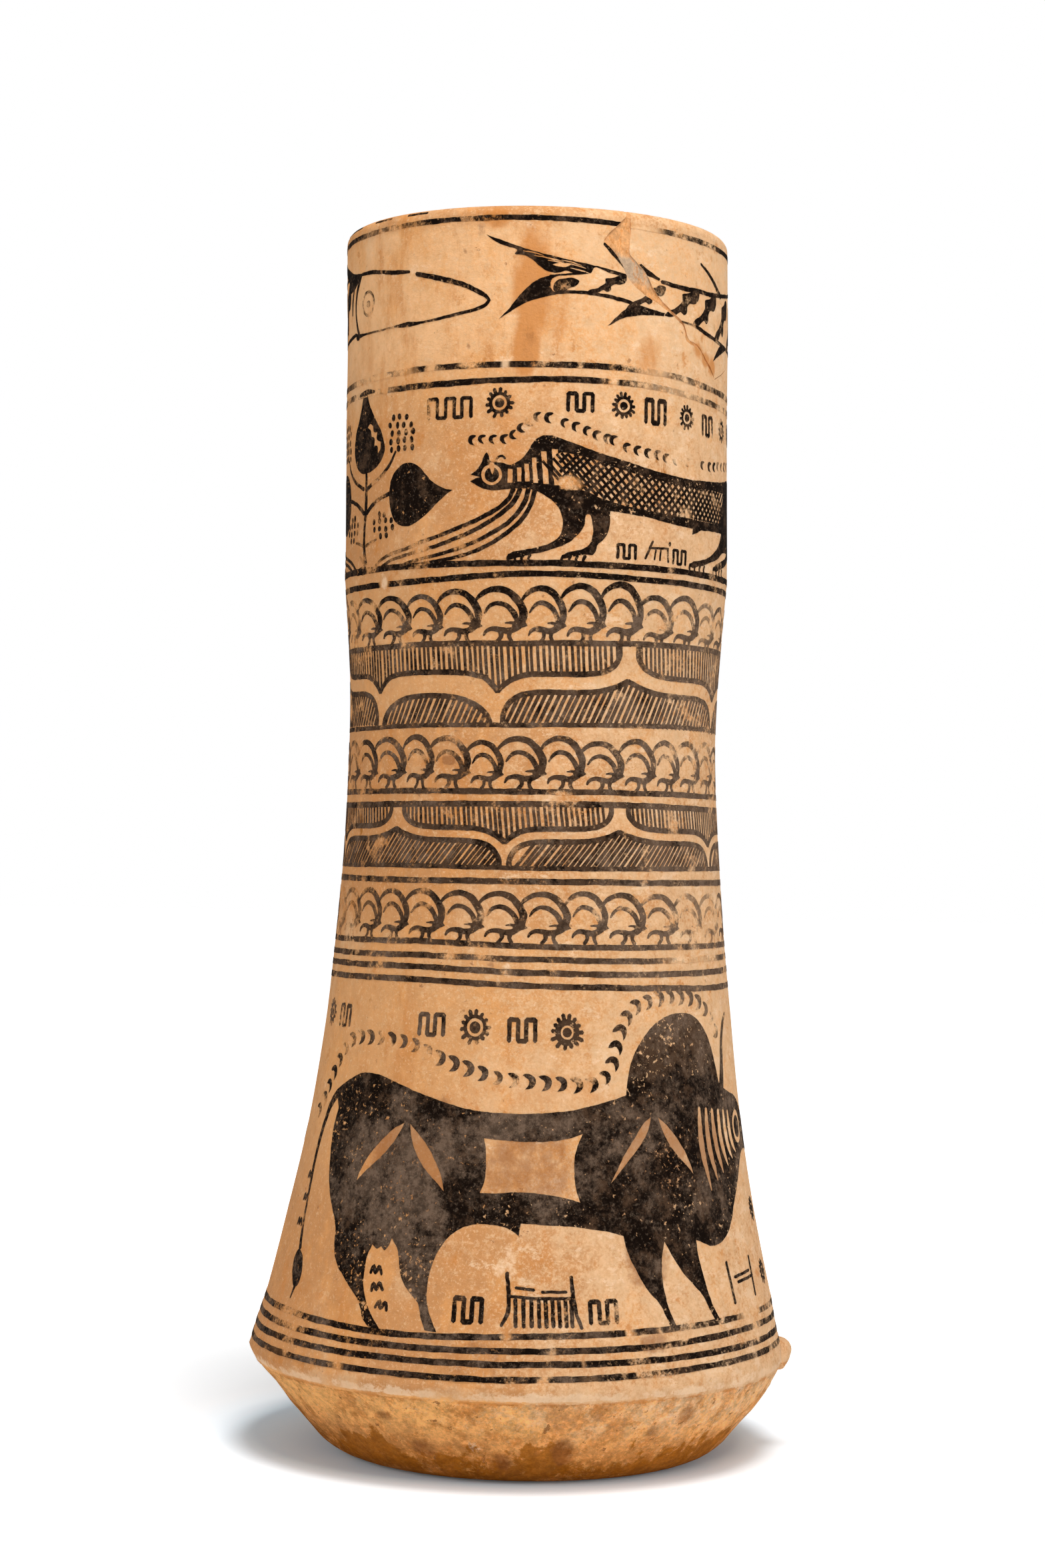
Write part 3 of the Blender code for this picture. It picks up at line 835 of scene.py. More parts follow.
def pressed_clay(finish, look):
    shade = finish.between(finish.noise(70, 4, 0.6), 0.3, 0.7, 0.78, 1.1)
    finish.link(finish.mix(1.0, rgba(look.luting), shade, "MULTIPLY"), "Base Color")
    finish.set("Roughness", 0.88)
    finish.bump(finish.noise(160, 4, 0.6), 0.001, 0.7)


def slip_material():
    return finish_of("worn_black_slip", worn_slip)


def clay_material():
    return finish_of("fired_terracotta", fired_clay)


def number(name, description, default, **kind):
    return bpy.props.FloatProperty(name=name, description=description, default=default, **kind)


def colour(name, description, default):
    return bpy.props.FloatVectorProperty(
        name=name, description=description, default=default, subtype="COLOR", min=0, max=1)


class JarLook(bpy.types.PropertyGroup):
    """Colours of the clay and the slip, and how the slip lies on the wall."""

    slip_lift: number("Slip lift", "How far the slip stands above the clay", 0.12 * MM, unit="LENGTH")
    slip_sink: number("Slip sink", "How far the slip reaches into the clay", 0.25 * MM, unit="LENGTH")
    clay_pale: colour("Pale clay", "Palest fired clay, on the neck", (0.83, 0.46, 0.215))
    # Cream also paints the highlight above the ledge and the lighter right side of the clay
    clay_cream: colour("Cream clay", "Creamy film on the clay", (0.81, 0.51, 0.28))
    clay_fair: colour("Fair clay", "Clay of the belly and the shoulder", (0.70, 0.345, 0.135))
    # Tan also paints the shade on the top of the lip
    clay_tan: colour("Tan clay", "Browner clay of the middle", (0.60, 0.275, 0.1))
    clay_warm: colour("Warm clay", "Orange clay of clouds", (0.76, 0.345, 0.112))
    clay_gold: colour("Gold clay", "Yellow clay of the base", (1.0, 0.505, 0.165))
    clay_burnt: colour("Burnt clay", "Dark clay under the foot", (0.40, 0.13, 0.008))
    # Rust also paints the shadow line under the ledge
    rust: colour("Rust", "Orange runs on the clay", (0.60, 0.225, 0.052))
    # Chip also paints the highlight along the ledge
    chip: colour("Chip", "Pale chips and scratches", (0.90, 0.63, 0.40))
    stain: colour("Stain", "Brown stains and specks", (0.27, 0.095, 0.03))
    slip_dark: colour("Dark slip", "Slip where it is thick", (0.0065, 0.003, 0.0015))
    slip_thin: colour("Thin slip", "Slip where it is thin", (0.07, 0.038, 0.021))
    # This colour paints both the dust and the painted sheen at the right
    slip_dust_and_sheen: colour("Hazy slip", "Slip with a film of dust", (0.18, 0.116, 0.077))
    slip_grain: colour("Grains", "Pale grains that show in the slip", (0.30, 0.215, 0.15))
    filler_grey: colour("Grey filler", "Filler of the break", (0.50, 0.34, 0.215))
    filler_warm: colour("Warm filler", "Raw clay of the break", (0.70, 0.345, 0.14))
    luting: colour("Luting clay", "Clay pressed over the joins inside", (0.52, 0.28, 0.13))


class JarStage(bpy.types.PropertyGroup):
    """Camera and lamps."""

    distance: number("Camera distance", "From the jar's axis", 1.410, unit="LENGTH")
    height: number("Camera height", "Above the foot", 0.2847, unit="LENGTH")
    across: number("Camera offset", "To the right of the jar's axis", -0.0042, unit="LENGTH")
    pitch: number("Camera pitch", "Above level", math.radians(0.9), subtype="ANGLE")
    roll: number("Camera roll", "Turn about its view", math.radians(1.0), subtype="ANGLE")
    lens: number("Lens", "Focal length in millimetres", 69.4)
    key: number("Key lamp", "Power of the soft lamp at the right", 8, unit="POWER")
    front: number("Front lamp", "Power of the soft lamp over the camera", 1.0, unit="POWER")
    left: number("Left lamp", "Power of the weak lamp at the left", 9, unit="POWER")
    top: number("Top lamp", "Power of the lamp above", 18.5, unit="POWER")
    surround: number("Surround", "Light of the white room", 0.34)
    floor_near: number("Floor near", "White added to the floor by the jar, for the camera", 0.05)
    floor_edge: number("Floor edge", "White added round the shadow, for the camera", 0.3)
    floor_far: number("Floor far", "White added to the far floor, for the camera", 0.9)


# Clay pieces


class JAR_OT_walls(bpy.types.Operator):
    """Turn the skirt and the waist of the jar"""

    bl_idname = "jar.walls"
    bl_label = "Walls"

    def execute(self, context):
        outer = [(wall_radius(z), z) for z in evenly(WAIST_SEAM, CARINATION_Z, OUTER_STEP)]
        tucked = CARINATION_RADIUS - CARINATION_OVERHANG
        outer += [(CARINATION_RADIUS - 0.25, CARINATION_Z - 1.5), (tucked + 0.9, BASE_SEAM + 2),
                  (tucked, BASE_SEAM)]
        inner = [(wall_radius(max(z, CARINATION_Z)) - WALL_THICKNESS, z)
                 for z in evenly(BASE_SEAM + SCARF_RISE, WAIST_SEAM + SCARF_RISE, INNER_STEP)]
        skirt = turned("skirt", outer + inner, steps=360, swell=self.ragged_foot)
        place_piece("skirt", skirt, clay_material(), "terracotta", "skirt_wall")
        outer = [(wall_radius(z), z) for z in evenly(NECK_SEAM, WAIST_SEAM, OUTER_STEP)]
        inner = [(wall_radius(z) - WALL_THICKNESS, z)
                 for z in evenly(WAIST_SEAM + SCARF_RISE, NECK_SEAM + SCARF_RISE, INNER_STEP)]
        waist = turned("waist", outer + inner, steps=320, swell=wall_swell)
        place_piece("waist", waist, clay_material(), "terracotta", "waist_wall")
        return {"FINISHED"}

    @staticmethod
    def ragged_foot(angle, radius, z):
        """The edge of the carination is uneven and chipped."""
        near = np.clip(1 - np.abs(z - CARINATION_Z + 2) / 9, 0, 1)
        bites = waves(angle * 9, z * 7, 33) + 0.6 * waves(angle * 23, z * 11, 34)
        return wall_swell(angle, radius, z) + near * (0.35 * bites - 0.3)


class JAR_OT_base(bpy.types.Operator):
    """Turn the bowl of the base"""

    bl_idname = "jar.base"
    bl_label = "Base"

    def execute(self, context):
        flank = flank_points()
        lip = np.array((CARINATION_RADIUS - WALL_THICKNESS, BASE_SEAM + SCARF_RISE))
        floor_corner = np.array((flank[-1][0] + BASE_THICKNESS, BASE_THICKNESS))
        floor_edge = floor_corner - (FLOOR_ROUND, 0)
        bowl = [floor_edge * (1 - t) ** 2 + floor_corner * 2 * t * (1 - t) + lip * t * t
                for t in np.linspace(1, 0, 16)]
        floor = [(r, BASE_THICKNESS) for r in evenly(floor_edge[0], 0, FLOOR_STEP)[1:]]
        foot = [(r, 0.0) for r in evenly(0, flank[-1][0], FLOOR_STEP)[:-1]]
        profile = floor[::-1] + bowl[::-1] + flank + foot[::-1]
        mesh = turned("base", profile, steps=300, swell=base_swell, closed=False)
        place_piece("base", mesh, finish_of("scraped_base", scraped_clay), "base_clay", "base_bowl")
        return {"FINISHED"}


# Mended break on the neck. The strip's two edges run from the rim down to the tip of the break.
STRIP_LEFT = ((39, 563), (39, 557), (35.6, 553.5), (31.4, 549.5), (28.2, 545.4), (32.6, 541.4), (37, 535.8),
              (39.8, 530.5), (44, 526.3), (49.4, 523), (57.6, 519.8), (64.3, 516.5), (69.6, 513.9),
              (72.8, 511.8), (74.5, 506.3), (83.5, 503.6), (90, 498.8), (96, 496))
STRIP_RIGHT = ((41.6, 563), (41.3, 556), (41.3, 550), (41, 545), (40.9, 541.2), (45.2, 537), (50.3, 532.3),
               (53.4, 527.3), (57, 523.5), (62.5, 519.4), (68, 516.2), (73.4, 512.8), (75.9, 507.4),
               (84.5, 504.8), (91, 500.1), (96.6, 496.8))
BREAK_TIP = (102, 492)
FAR_BREAK = ((112, 495.5), (124, 500.5), (134, 508), (144, 518), (151, 525), (156.5, 532.5), (160, 545),
             (164, 563))
SHERD_GAP = 0.3
FILLER_RECESS = 0.45
# Steps of the neck's mesh, how far up its scarf reaches and how far under the lip the ridges fade
NECK_ROW_STEP = 2.6
NECK_COLUMN_STEP = 2.2
SCARF_REACH = 30
RIDGE_FADE = 12


def strip_outline():
    """Outline of the filler, on the unrolled neck."""
    return np.vstack([smooth_path(STRIP_LEFT), smooth_path(STRIP_RIGHT)[::-1]])


class JAR_OT_neck(bpy.types.Operator):
    """Build the neck, its rim sherd and the filler of the break"""

    bl_idname = "jar.neck"
    bl_label = "Neck and mended rim"

    def execute(self, context):
        left = rough(smooth_path(STRIP_LEFT), amount=0.35, seed=3)
        right = rough(smooth_path(STRIP_RIGHT), amount=0.3, seed=5)
        far = smooth_path((STRIP_RIGHT[-1], BREAK_TIP, *FAR_BREAK), corners=(1,))
        far = rough(far, amount=0.3, seed=6)
        mend = np.vstack([left, [BREAK_TIP], far[len(far) // 12:]])
        half = math.pi * NECK_BAND
        whole = np.array([(-half, NECK_SEAM), (half, NECK_SEAM), (half, RIM_TOP), (-half, RIM_TOP)])
        clay = clay_material()
        self.shell("neck", [(whole, 1.0), (mend, RESERVE)], clay, "terracotta", "neck_wall")
        inward = far.copy()
        inward[:, 0] -= SHERD_GAP
        inward[:, 1] += SHERD_GAP
        sherd = np.vstack([right, inward])
        beyond = np.array([(0, RIM_TOP), (200, RIM_TOP), (200, RIM_TOP + 20), (0, RIM_TOP + 20)])
        self.shell("rim_sherd_clay", [(sherd, 1.0), (beyond, RESERVE)], clay, "terracotta", "rim_sherd")
        strip = np.vstack([left, right[::-1]])
        self.shell("break_filler", [(strip, 1.0), (beyond, RESERVE)],
                   finish_of("mended_break", break_filler), "break_filler", "break_fill", FILLER_RECESS)
        return {"FINISHED"}

    @staticmethod
    def shell(name, shapes, material, slot, node, recess=0.0):
        """Part of the neck's wall, from flat outlines, with a round lip and a scarfed foot."""
        outline = shapes[0][0]
        low, high = outline.min(0), np.minimum(outline.max(0), (np.inf, RIM_TOP))
        rows = list(evenly(NECK_SEAM, LIP_Z, NECK_ROW_STEP))
        rows += [LIP_Z + LIP_RADIUS * math.sin(math.radians(turn)) for turn in range(10, 91, 10)]
        columns = evenly(-math.pi * NECK_BAND, math.pi * NECK_BAND, NECK_COLUMN_STEP)
        grid = np.stack(np.meshgrid(columns, rows), -1).reshape(-1, 2)
        grid = grid[((grid >= low - 1e-6) & (grid <= high + 1e-6)).all(1)]
        points, faces, _ = fill_outlines(shapes, grid)
        angle, z = points[:, 0] / NECK_BAND, np.minimum(points[:, 1], RIM_TOP)
        dent = recess * (1 + 0.7 * waves(angle * 25, z * 6, 12)) if recess else 0.0
        top = on_wall(angle, z, -np.abs(dent))
        level = np.sqrt(1 - np.clip((z - LIP_Z) / LIP_RADIUS, 0, 1) ** 2)
        foot = np.clip(1 - (z - NECK_SEAM) / SCARF_REACH, 0, 1)
        fade = np.clip((LIP_Z - z) / RIDGE_FADE, 0, 1)
        inner = wall_radius(z) + sway(angle, z) - LIP_RADIUS * (1 + level)
        inner = inner + fade * finger_ridges(angle, z)
        bottom = np.stack([inner * np.sin(angle), -inner * np.cos(angle), z + SCARF_RISE * foot], -1)
        at_end = np.abs(np.abs(points[:, 0]) - math.pi * NECK_BAND) < 1e-3
        mesh, _ = thicken(name, points, faces, top, bottom * MM, at_end)
        add_tint(welded(mesh))
        place_piece(name, mesh, material, slot, node)


# Coils, with their gap to the wall, their swell and the lean of the base behind them
COIL_GAP = 0.2
COIL_SWELL = 4.2
BASE_LEAN = 0.55


class JAR_OT_coils(bpy.types.Operator):
    """Press a coil of clay over each join inside"""

    bl_idname = "jar.coils"
    bl_label = "Join coils"

    def execute(self, context):
        luting = finish_of("pressed_luting", pressed_clay)
        for name in ("base_join_coil", "waist_join_coil", "neck_join_coil"):
            low, high = node_span(name, 2)
            reach = node_span(name, 0)[1]
            seat, swell = [], []
            for t in np.linspace(0, 1, 13):
                z = low + (high - low) * t
                radius = wall_radius(max(z, CARINATION_Z)) - WALL_THICKNESS - COIL_GAP
                if z < CARINATION_Z:
                    radius = reach - (CARINATION_Z - z) * BASE_LEAN
                seat.append((radius, z))
                swell.append((radius - COIL_SWELL * 4 * t * (1 - t) * (1 + 0.08 * math.cos(9 * t)), z))
            mesh = turned(name + "_clay", seat[::-1] + swell[1:-1], steps=180, swell=self.thumbed)
            place_piece(name + "_clay", mesh, luting, "luting_clay", name)
        return {"FINISHED"}

    @staticmethod
    def thumbed(angle, radius, z):
        """Thumb marks along the coil."""
        return sway(angle, z) * 0.6 + 0.5 * np.cos(34 * angle + 2 * waves(angle, z, 3))


# Nose of the lug, seen along the wall, as how far it stands out and its height
LUG_NOSE = ((-3, 52), (1.2, 51.4), (3.4, 49.9), (4.5, 47.6), (4.4, 45.6), (3.3, 43), (1.4, 40.2),
            (-1, 37.6), (-4, 37))
LUG_Z = 46
LUG_WIDTH = 19
LUG_ANGLE = math.radians(89.5)


class JAR_OT_lug(bpy.types.Operator):
    """Shape the lug on the carination"""

    bl_idname = "jar.lug"
    bl_label = "Lug"

    def execute(self, context):
        nose = smooth_path(LUG_NOSE, closed=True, step=0.5)
        rows, points = len(nose), []
        across = np.linspace(-1, 1, 25)
        for t in across:
            size = math.sqrt(max(1 - abs(t) ** 2.4, 0.0))
            for out, z in nose:
                knead = 0.5 * noise.noise(Vector((out * 0.3, z * 0.3, t * 2)))
                reach = wall_radius(CARINATION_Z) + sway(LUG_ANGLE, z)
                reach += (out + knead) * size - 2.5 * (1 - size)
                turn = LUG_ANGLE + t * LUG_WIDTH / 2 / CARINATION_RADIUS
                height = LUG_Z + (z - LUG_Z) * (0.35 + 0.65 * size)
                points.append((reach * math.sin(turn) * MM, -reach * math.cos(turn) * MM, height * MM))
        faces = []
        for i in range(len(across) - 1):
            for j in range(rows):
                k = (j + 1) % rows
                faces.append((i * rows + j, i * rows + k, (i + 1) * rows + k, (i + 1) * rows + j))
        faces += [list(range(rows))[::-1], list(range(len(points) - rows, len(points)))]
        mesh = new_mesh("lug", points, faces, math.radians(60))
        add_tint(mesh)
        place_piece("lug", mesh, clay_material(), "base_clay", "carination_lug")
        return {"FINISHED"}


# Painted lines. A line is its height at x -100, -50, 0, 50 and 100, then its width and ink.
LINE_PLACES = (-100, -50, 0, 50, 100)
# Beyond this x a line keeps the mean height of its ends
LINE_BACK = 190
NECK_LINES = (
    ((553.5, 554, 554, 553, 552), 2.0, 0.76),
    ((487.5, 489, 489.5, 489.5, 486.8), 2.3, 0.7),
    ((481.3, 481.5, 483, 483, 480.3), 2.3, 0.74),
    ((401.3, 401.7, 402.3, 402.2, 401.7), 2.4, 0.95),
)
WAIST_LINES = (
    ((394, 395, 397.7, 397, 396.4), 2.3, 0.95),
    ((366, 366.8, 367.3, 368.5, 368.5), 2.2, 0.9),
    ((330, 331, 331.4, 332.4, 332.6), 1.8, 0.9),
    ((301.5, 302, 302.2, 302.5, 302), 2.2, 0.9),
    ((295.5, 296.2, 296.8, 297, 296), 2.3, 0.95),
    ((268.3, 268.9, 268.6, 269, 269.2), 1.8, 0.9),
    ((262.3, 262.5, 262.9, 262.9, 262.8), 2.3, 0.9),
)
LOWER_LINES = (
    ((234.8, 235.6, 234.6, 234.4, 234.5), 2.2, 0.9),
    ((228.8, 229.5, 229, 228.4, 228.8), 2.2, 0.8),
    ((223.9, 224.4, 223.2, 222.5, 222.7), 2.3, 0.9),
    ((218.3, 218.8, 217.5, 216.7, 215.6), 2.3, 0.95),
)
FOOT_LINES = (
    ((69, 67.6, 69.2, 70.2, 71), 2.3, 0.85),
    ((63.2, 62.7, 63.2, 63.7, 65.3), 2.3, 0.9),
    ((57.6, 57.5, 57.8, 58.1, 58.5), 2.3, 0.95),
    ((51.5, 51.5, 51.6, 52.6, 53.3), 2.2, 0.85),
)
NECK_LINE_WEAR = (
    (48, 553, 9, 4, 1.0), (-80, 553.5, 22, 4, 0.45), (-80.5, 488, 3, 3, 0.8), (-50.5, 489, 2.2, 3, 0.8),
    (-15, 489.5, 1.8, 3, 0.8), (54, 489.5, 9, 3, 0.6), (33.5, 483, 2.2, 3, 0.7), (-92, 485, 16, 8, 0.35),
    (68, 549, 26, 7, 0.3), (66, 482.5, 20, 3, 0.45), (-64, 488.5, 5, 3, 0.5),
)
WAIST_LINE_WEAR = ((-75.5, 395, 3, 4, 0.9), (9, 299, 9, 4, 0.35))
LOWER_LINE_WEAR = ((85, 228.5, 20, 3, 0.55), (-10, 223, 4, 5, 0.5))
FOOT_LINE_WEAR = (
    (-6, 69, 2, 3, 0.9), (40.5, 70, 1.6, 3, 0.9), (107, 71, 8, 3, 0.5), (22, 58, 1.6, 2, 0.7),
    (-70.5, 51.5, 3, 3, 0.7), (7.5, 51.6, 1.8, 3, 0.8), (24, 52, 6, 3, 0.4), (-106, 60, 14, 14, 0.45),
)
# Dashes on the lip, as x and half length, and their heights at both ends
LIP_DASHES = ((-113.5, 11.5), (-82, 6), (-59.5, 5.5))
LIP_DASH_Z = (558.3, 558.4)


def ring(heights, width, ink, radius, seed):
    """A line round the jar. Its ends meet at the back, where the brush was lifted."""
    half = math.pi * radius - 0.3
    back = (heights[0] + heights[-1]) / 2
    given = smooth_path([(-half, back), (-LINE_BACK, back)] + list(zip(LINE_PLACES, heights))
                        + [(LINE_BACK, back), (half, back)], step=2.0)
    points = []
    for x, z in given:
        stir = noise.noise(Vector((x * 0.05, seed, 0))) + 0.6 * noise.noise(Vector((x * 0.2, seed, 3)))
        wide = width * (1.14 + 0.2 * noise.noise(Vector((x * 0.11, seed, 5))))
        points.append((x, z + 0.25 * stir, wide))
    return stroke(points, ink, 2.0)


class JAR_OT_lines(bpy.types.Operator):
    """Paint the lines round the jar"""

    bl_idname = "jar.lines"
    bl_label = "Painted lines"

    def execute(self, context):
        groups = (
            ("neck_lines", NECK_LINES, NECK_BAND, NECK_LINE_WEAR),
            ("waist_lines", WAIST_LINES, WAIST_BAND, WAIST_LINE_WEAR),
            ("lower_lines", LOWER_LINES, LOWER_BAND, LOWER_LINE_WEAR),
            ("foot_lines", FOOT_LINES, BULL_BAND, FOOT_LINE_WEAR),
        )
        for name, lines, radius, wear in groups:
            shapes = [ring(*row, radius, i + len(name)) for i, row in enumerate(lines)]
            if radius == NECK_BAND:
                for x, reach in LIP_DASHES:
                    shapes.append(line(zip((x - reach, x + reach), LIP_DASH_Z), 0.9, 0.8))
                shapes.append((strip_outline(), RESERVE))
            paint(name, shapes, radius, wear)
        return {"FINISHED"}


# Fish. One fish is drawn with its tail at the front, and its head is beyond the right edge.
FISH_SPACING = math.pi * NECK_BAND
TAIL_STREAKS = ((-8, 539.3), (-3, 537.3), (1, 536.6), (3, 535.4), (9, 535.6), (11, 534.3), (13, 532.2))
FISH = (
    blot(((-24.3, 546.5, CORNER), (-17, 543.9), (-10, 541.3), (0, 538.5), (10, 536.3), (23, 534.2),
          (39.8, 531.4, CORNER), (39.6, 530, CORNER), (31, 531.3), (23.4, 532.7), (22.6, 530.9),
          (19, 529.9), (14, 530.2), (10.5, 531.2), (8.5, 530.2), (5, 530), (1.5, 531.2), (-1, 533),
          (-4, 535.7), (-8, 537.6), (-11.5, 538.2), (-10.5, 539.6), (-14, 540.9), (-20, 543.2)), 1.0),
    bare(((5, 533.6), (8, 532.7), (12, 533), (13.5, 534), (11, 534.4), (7, 534.2))),
    *(stroke(((x, z, 0.35), (x + 5, z - 0.8, 0.6), (x + 9, z - 1.9, 0.3)), RESERVE) for x,
      z in TAIL_STREAKS),
    blot(((-18.2, 509.4, CORNER), (-14, 512.2), (-10, 514.7), (-5, 517.1), (0, 518.8), (5, 520),
          (10, 520.8), (20, 521), (30, 520.1), (40, 518.5), (46, 517), (52, 516), (60, 515, CORNER),
          (60.5, 516.4, CORNER), (52, 517.4), (46, 518.6), (40, 520.2), (30, 521.7), (20, 522.5),
          (10, 522.3), (5.2, 521.9), (4.2, 524.5), (5, 527.3), (9, 529), (4, 528.7), (0, 527.4), (-4, 525),
          (-8, 521.2), (-11, 517.6), (-14.5, 513.2)), 1.0),
    stroke(((4, 528.6, 0.7), (12, 529.4, 0.9), (20, 530.4, 0.9)), 0.8),
    blot(((5.6, 522.2), (6, 525.2), (8, 527), (11, 527.6), (14.5, 527.9), (17, 526.6), (15.5, 524.4),
          (13, 523.6), (10, 521.8)), 0.8),
    blot(((30.3, 507.8, CORNER), (33.5, 509.4), (38, 511.8), (45, 513.6), (52, 514.5), (60, 515.2),
          (52, 516.4), (46, 517.6), (41.8, 518.6), (39, 515.9), (35, 512.3)), 1.0),
    stroke(((28.4, 544, 1.5), (33, 540.4, 2.6), (37.4, 536.4, 2.6), (41, 532.4, 2)), 0.95),
    stroke(((46.5, 535.6, 2.6), (51, 533.2, 2.3), (57.2, 531.1, 1.3)), 0.9),
    stroke(((58.8, 530.3, 1.6), (66, 529.5, 2), (75, 529.2, 2.1), (84, 529.6, 1.9), (95, 529.7, 2),
            (105, 530.8, 1.9), (120, 533, 1.7), (140, 536.5, 1.6), (160, 537.6, 1.5), (178, 536.6, 1.4),
            (190, 536, 1.8), (199, 534.7, 1.8), (209, 533.4, 1.9), (215.5, 533, 1.3)), 0.9),
    stroke(((219.7, 531.6, 2), (228, 529.6, 2.3), (239, 526.6, 2.3), (246, 524.2, 2.2), (251.5, 521.3, 2),
            (254.8, 519.3, 1.7), (255.7, 517.8, 1.6), (254.4, 516, 1.6), (250.5, 514.2, 1.5),
            (243.5, 512.7, 1.4), (233.5, 511, 1.3), (223.5, 509.8, 1.1), (214, 509.5, 2.2),
            (208, 509.4, 1.2), (193, 508.9, 0.9), (181.5, 508.9, 1.1), (176.5, 509, 1.9),
            (170.5, 510.2, 1.3)), 0.9),
    stroke(((70, 514, 0.9), (79, 513.6, 1), (84, 512.9, 1.7), (92, 511.2, 1.8), (100, 510.2, 1.7),
            (108, 509.2, 1.7), (120, 508.5, 1.6), (140, 508.3, 1.6), (160, 509.2, 1.7),
            (171, 510.2, 1.7)), 0.9),
    stroke(((178.5, 536.5, 1.9), (174.5, 531.5, 2.3), (172, 526.5, 1.7), (171.4, 519.5, 1.4),
            (173, 514, 1.7), (175.4, 509.4, 2.2)), 0.9),
    stroke(((170, 534, 1.8), (166.5, 527, 2), (165.5, 520, 1.2)), 0.85),
    blot(((159, 537.2), (162.5, 533.5), (161.5, 531), (165, 530.5), (169, 532.5), (171.5, 536),
          (168, 537.6)), 0.85),
    blot(((138, 549, CORNER), (150, 545), (160, 541.6), (170, 538.2), (178, 537.2, CORNER), (173.5, 533),
          (168.5, 531), (163, 533.5), (157, 537), (150, 540.6)), 1.0),
    disc(174, 508.8, 2.2, 1.7, ink=1.0, points=10),
    stroke(((86.6, 542.2, 1.2), (92, 540, 1.5), (98, 537, 1.8), (104, 533.4, 2.3),
            (109, 530.8, 2.4)), 0.85),
    blot(((99.3, 500, CORNER), (103.5, 504.6), (108.5, 508.3), (120, 508.6), (112, 505.5),
          (105, 502.8)), 0.95),
    disc(185.5, 522.5, 5.9, ink=0.72, points=24),
    disc(185.5, 522.5, 4.7, ink=RESERVE, points=24),
    disc(185.8, 522.2, 1.8, 1.5, ink=0.7),
)
FISH_SCALE = (blot(((0, 0), (2.5, 2.3), (7, 4.3), (10, 6.6), (11.5, 8.2), (11.6, 11.3), (14, 12),
                    (17, 12.8), (20, 14.5), (24.5, 14), (24, 10.5), (21.5, 8.2), (17, 7.6), (15, 6),
                    (14.8, 3.5), (12.5, 1.8), (10.5, 3), (8.5, 2), (5, 0)), 0.9),)
FISH_SCALES = ((20, 521.6, 0.8, 0.62, 0, 1.0), (41, 518, 0.82, 0.72, 0, 0.85),
               (60.5, 515.4, 1, 0.98, 0, 0.95), (79.5, 513.8, 0.94, 1.1, 0, 0.95),
               (100.5, 510.4, 0.9, 1.4, 0, 0.95), (122, 509.2, 0.9, 1.7, 0, 0.95),
               (143, 509.2, 0.8, 1.8, 0, 0.9))
FISH_WEAR = ((61, 527, 5, 4, 0.3), (76, 513, 7, 2.5, 0.4), (196, 509, 12, 3, 0.4),
             (181, 519, 5, 4, 0.5), (-93, 519, 6, 5, 0.4), (-85, 509, 14, 3, 0.45), (8, 525, 8, 4, 0.15))


class JAR_OT_fish(bpy.types.Operator):
    """Paint the two fish under the rim"""

    bl_idname = "jar.fish"
    bl_label = "Fish"

    def execute(self, context):
        fish = list(FISH) + stamp(FISH_SCALE, FISH_SCALES)
        shapes = fish + shifted(fish, -FISH_SPACING) + [(strip_outline(), RESERVE)]
        paint("fish", shapes, NECK_BAND, FISH_WEAR)
        return {"FINISHED"}


# Plant between the two felines, on its stem's axis
STEM = -94.5
PLANT_RIGHT = (
    stroke(((-92.5, 438.5, 2), (-88, 440.3, 1.8), (-83, 442.2, 1.7), (-78, 445, 1.6), (-74, 448.5, 1.4),
            (-70.5, 453.5, 1.1)), 0.9),
    stroke(((-93, 427.5, 2.2), (-89, 430, 2), (-84, 432.3, 1.9), (-79, 433.8, 1.8),
            (-73.5, 435, 1.9)), 0.95),
    blot(((-74.3, 437), (-73, 441.5), (-70, 445), (-66, 447.3), (-61.5, 447.8), (-57, 446.3), (-53, 442.8),
          (-49.5, 439.3), (-45, 436.5), (-41, 435), (-38.4, 434.5, CORNER), (-40.5, 433.3), (-45, 430),
          (-49, 426.5), (-54, 422.8), (-59, 420.2), (-63.5, 419.5), (-68, 420.7), (-71.5, 423.8),
          (-73.5, 428.5), (-74.5, 433)), 1.3),
    stroke(((-93.5, 412.5, 1.4), (-89, 413.8, 1.3), (-84, 414.8, 1)), 0.7),
)
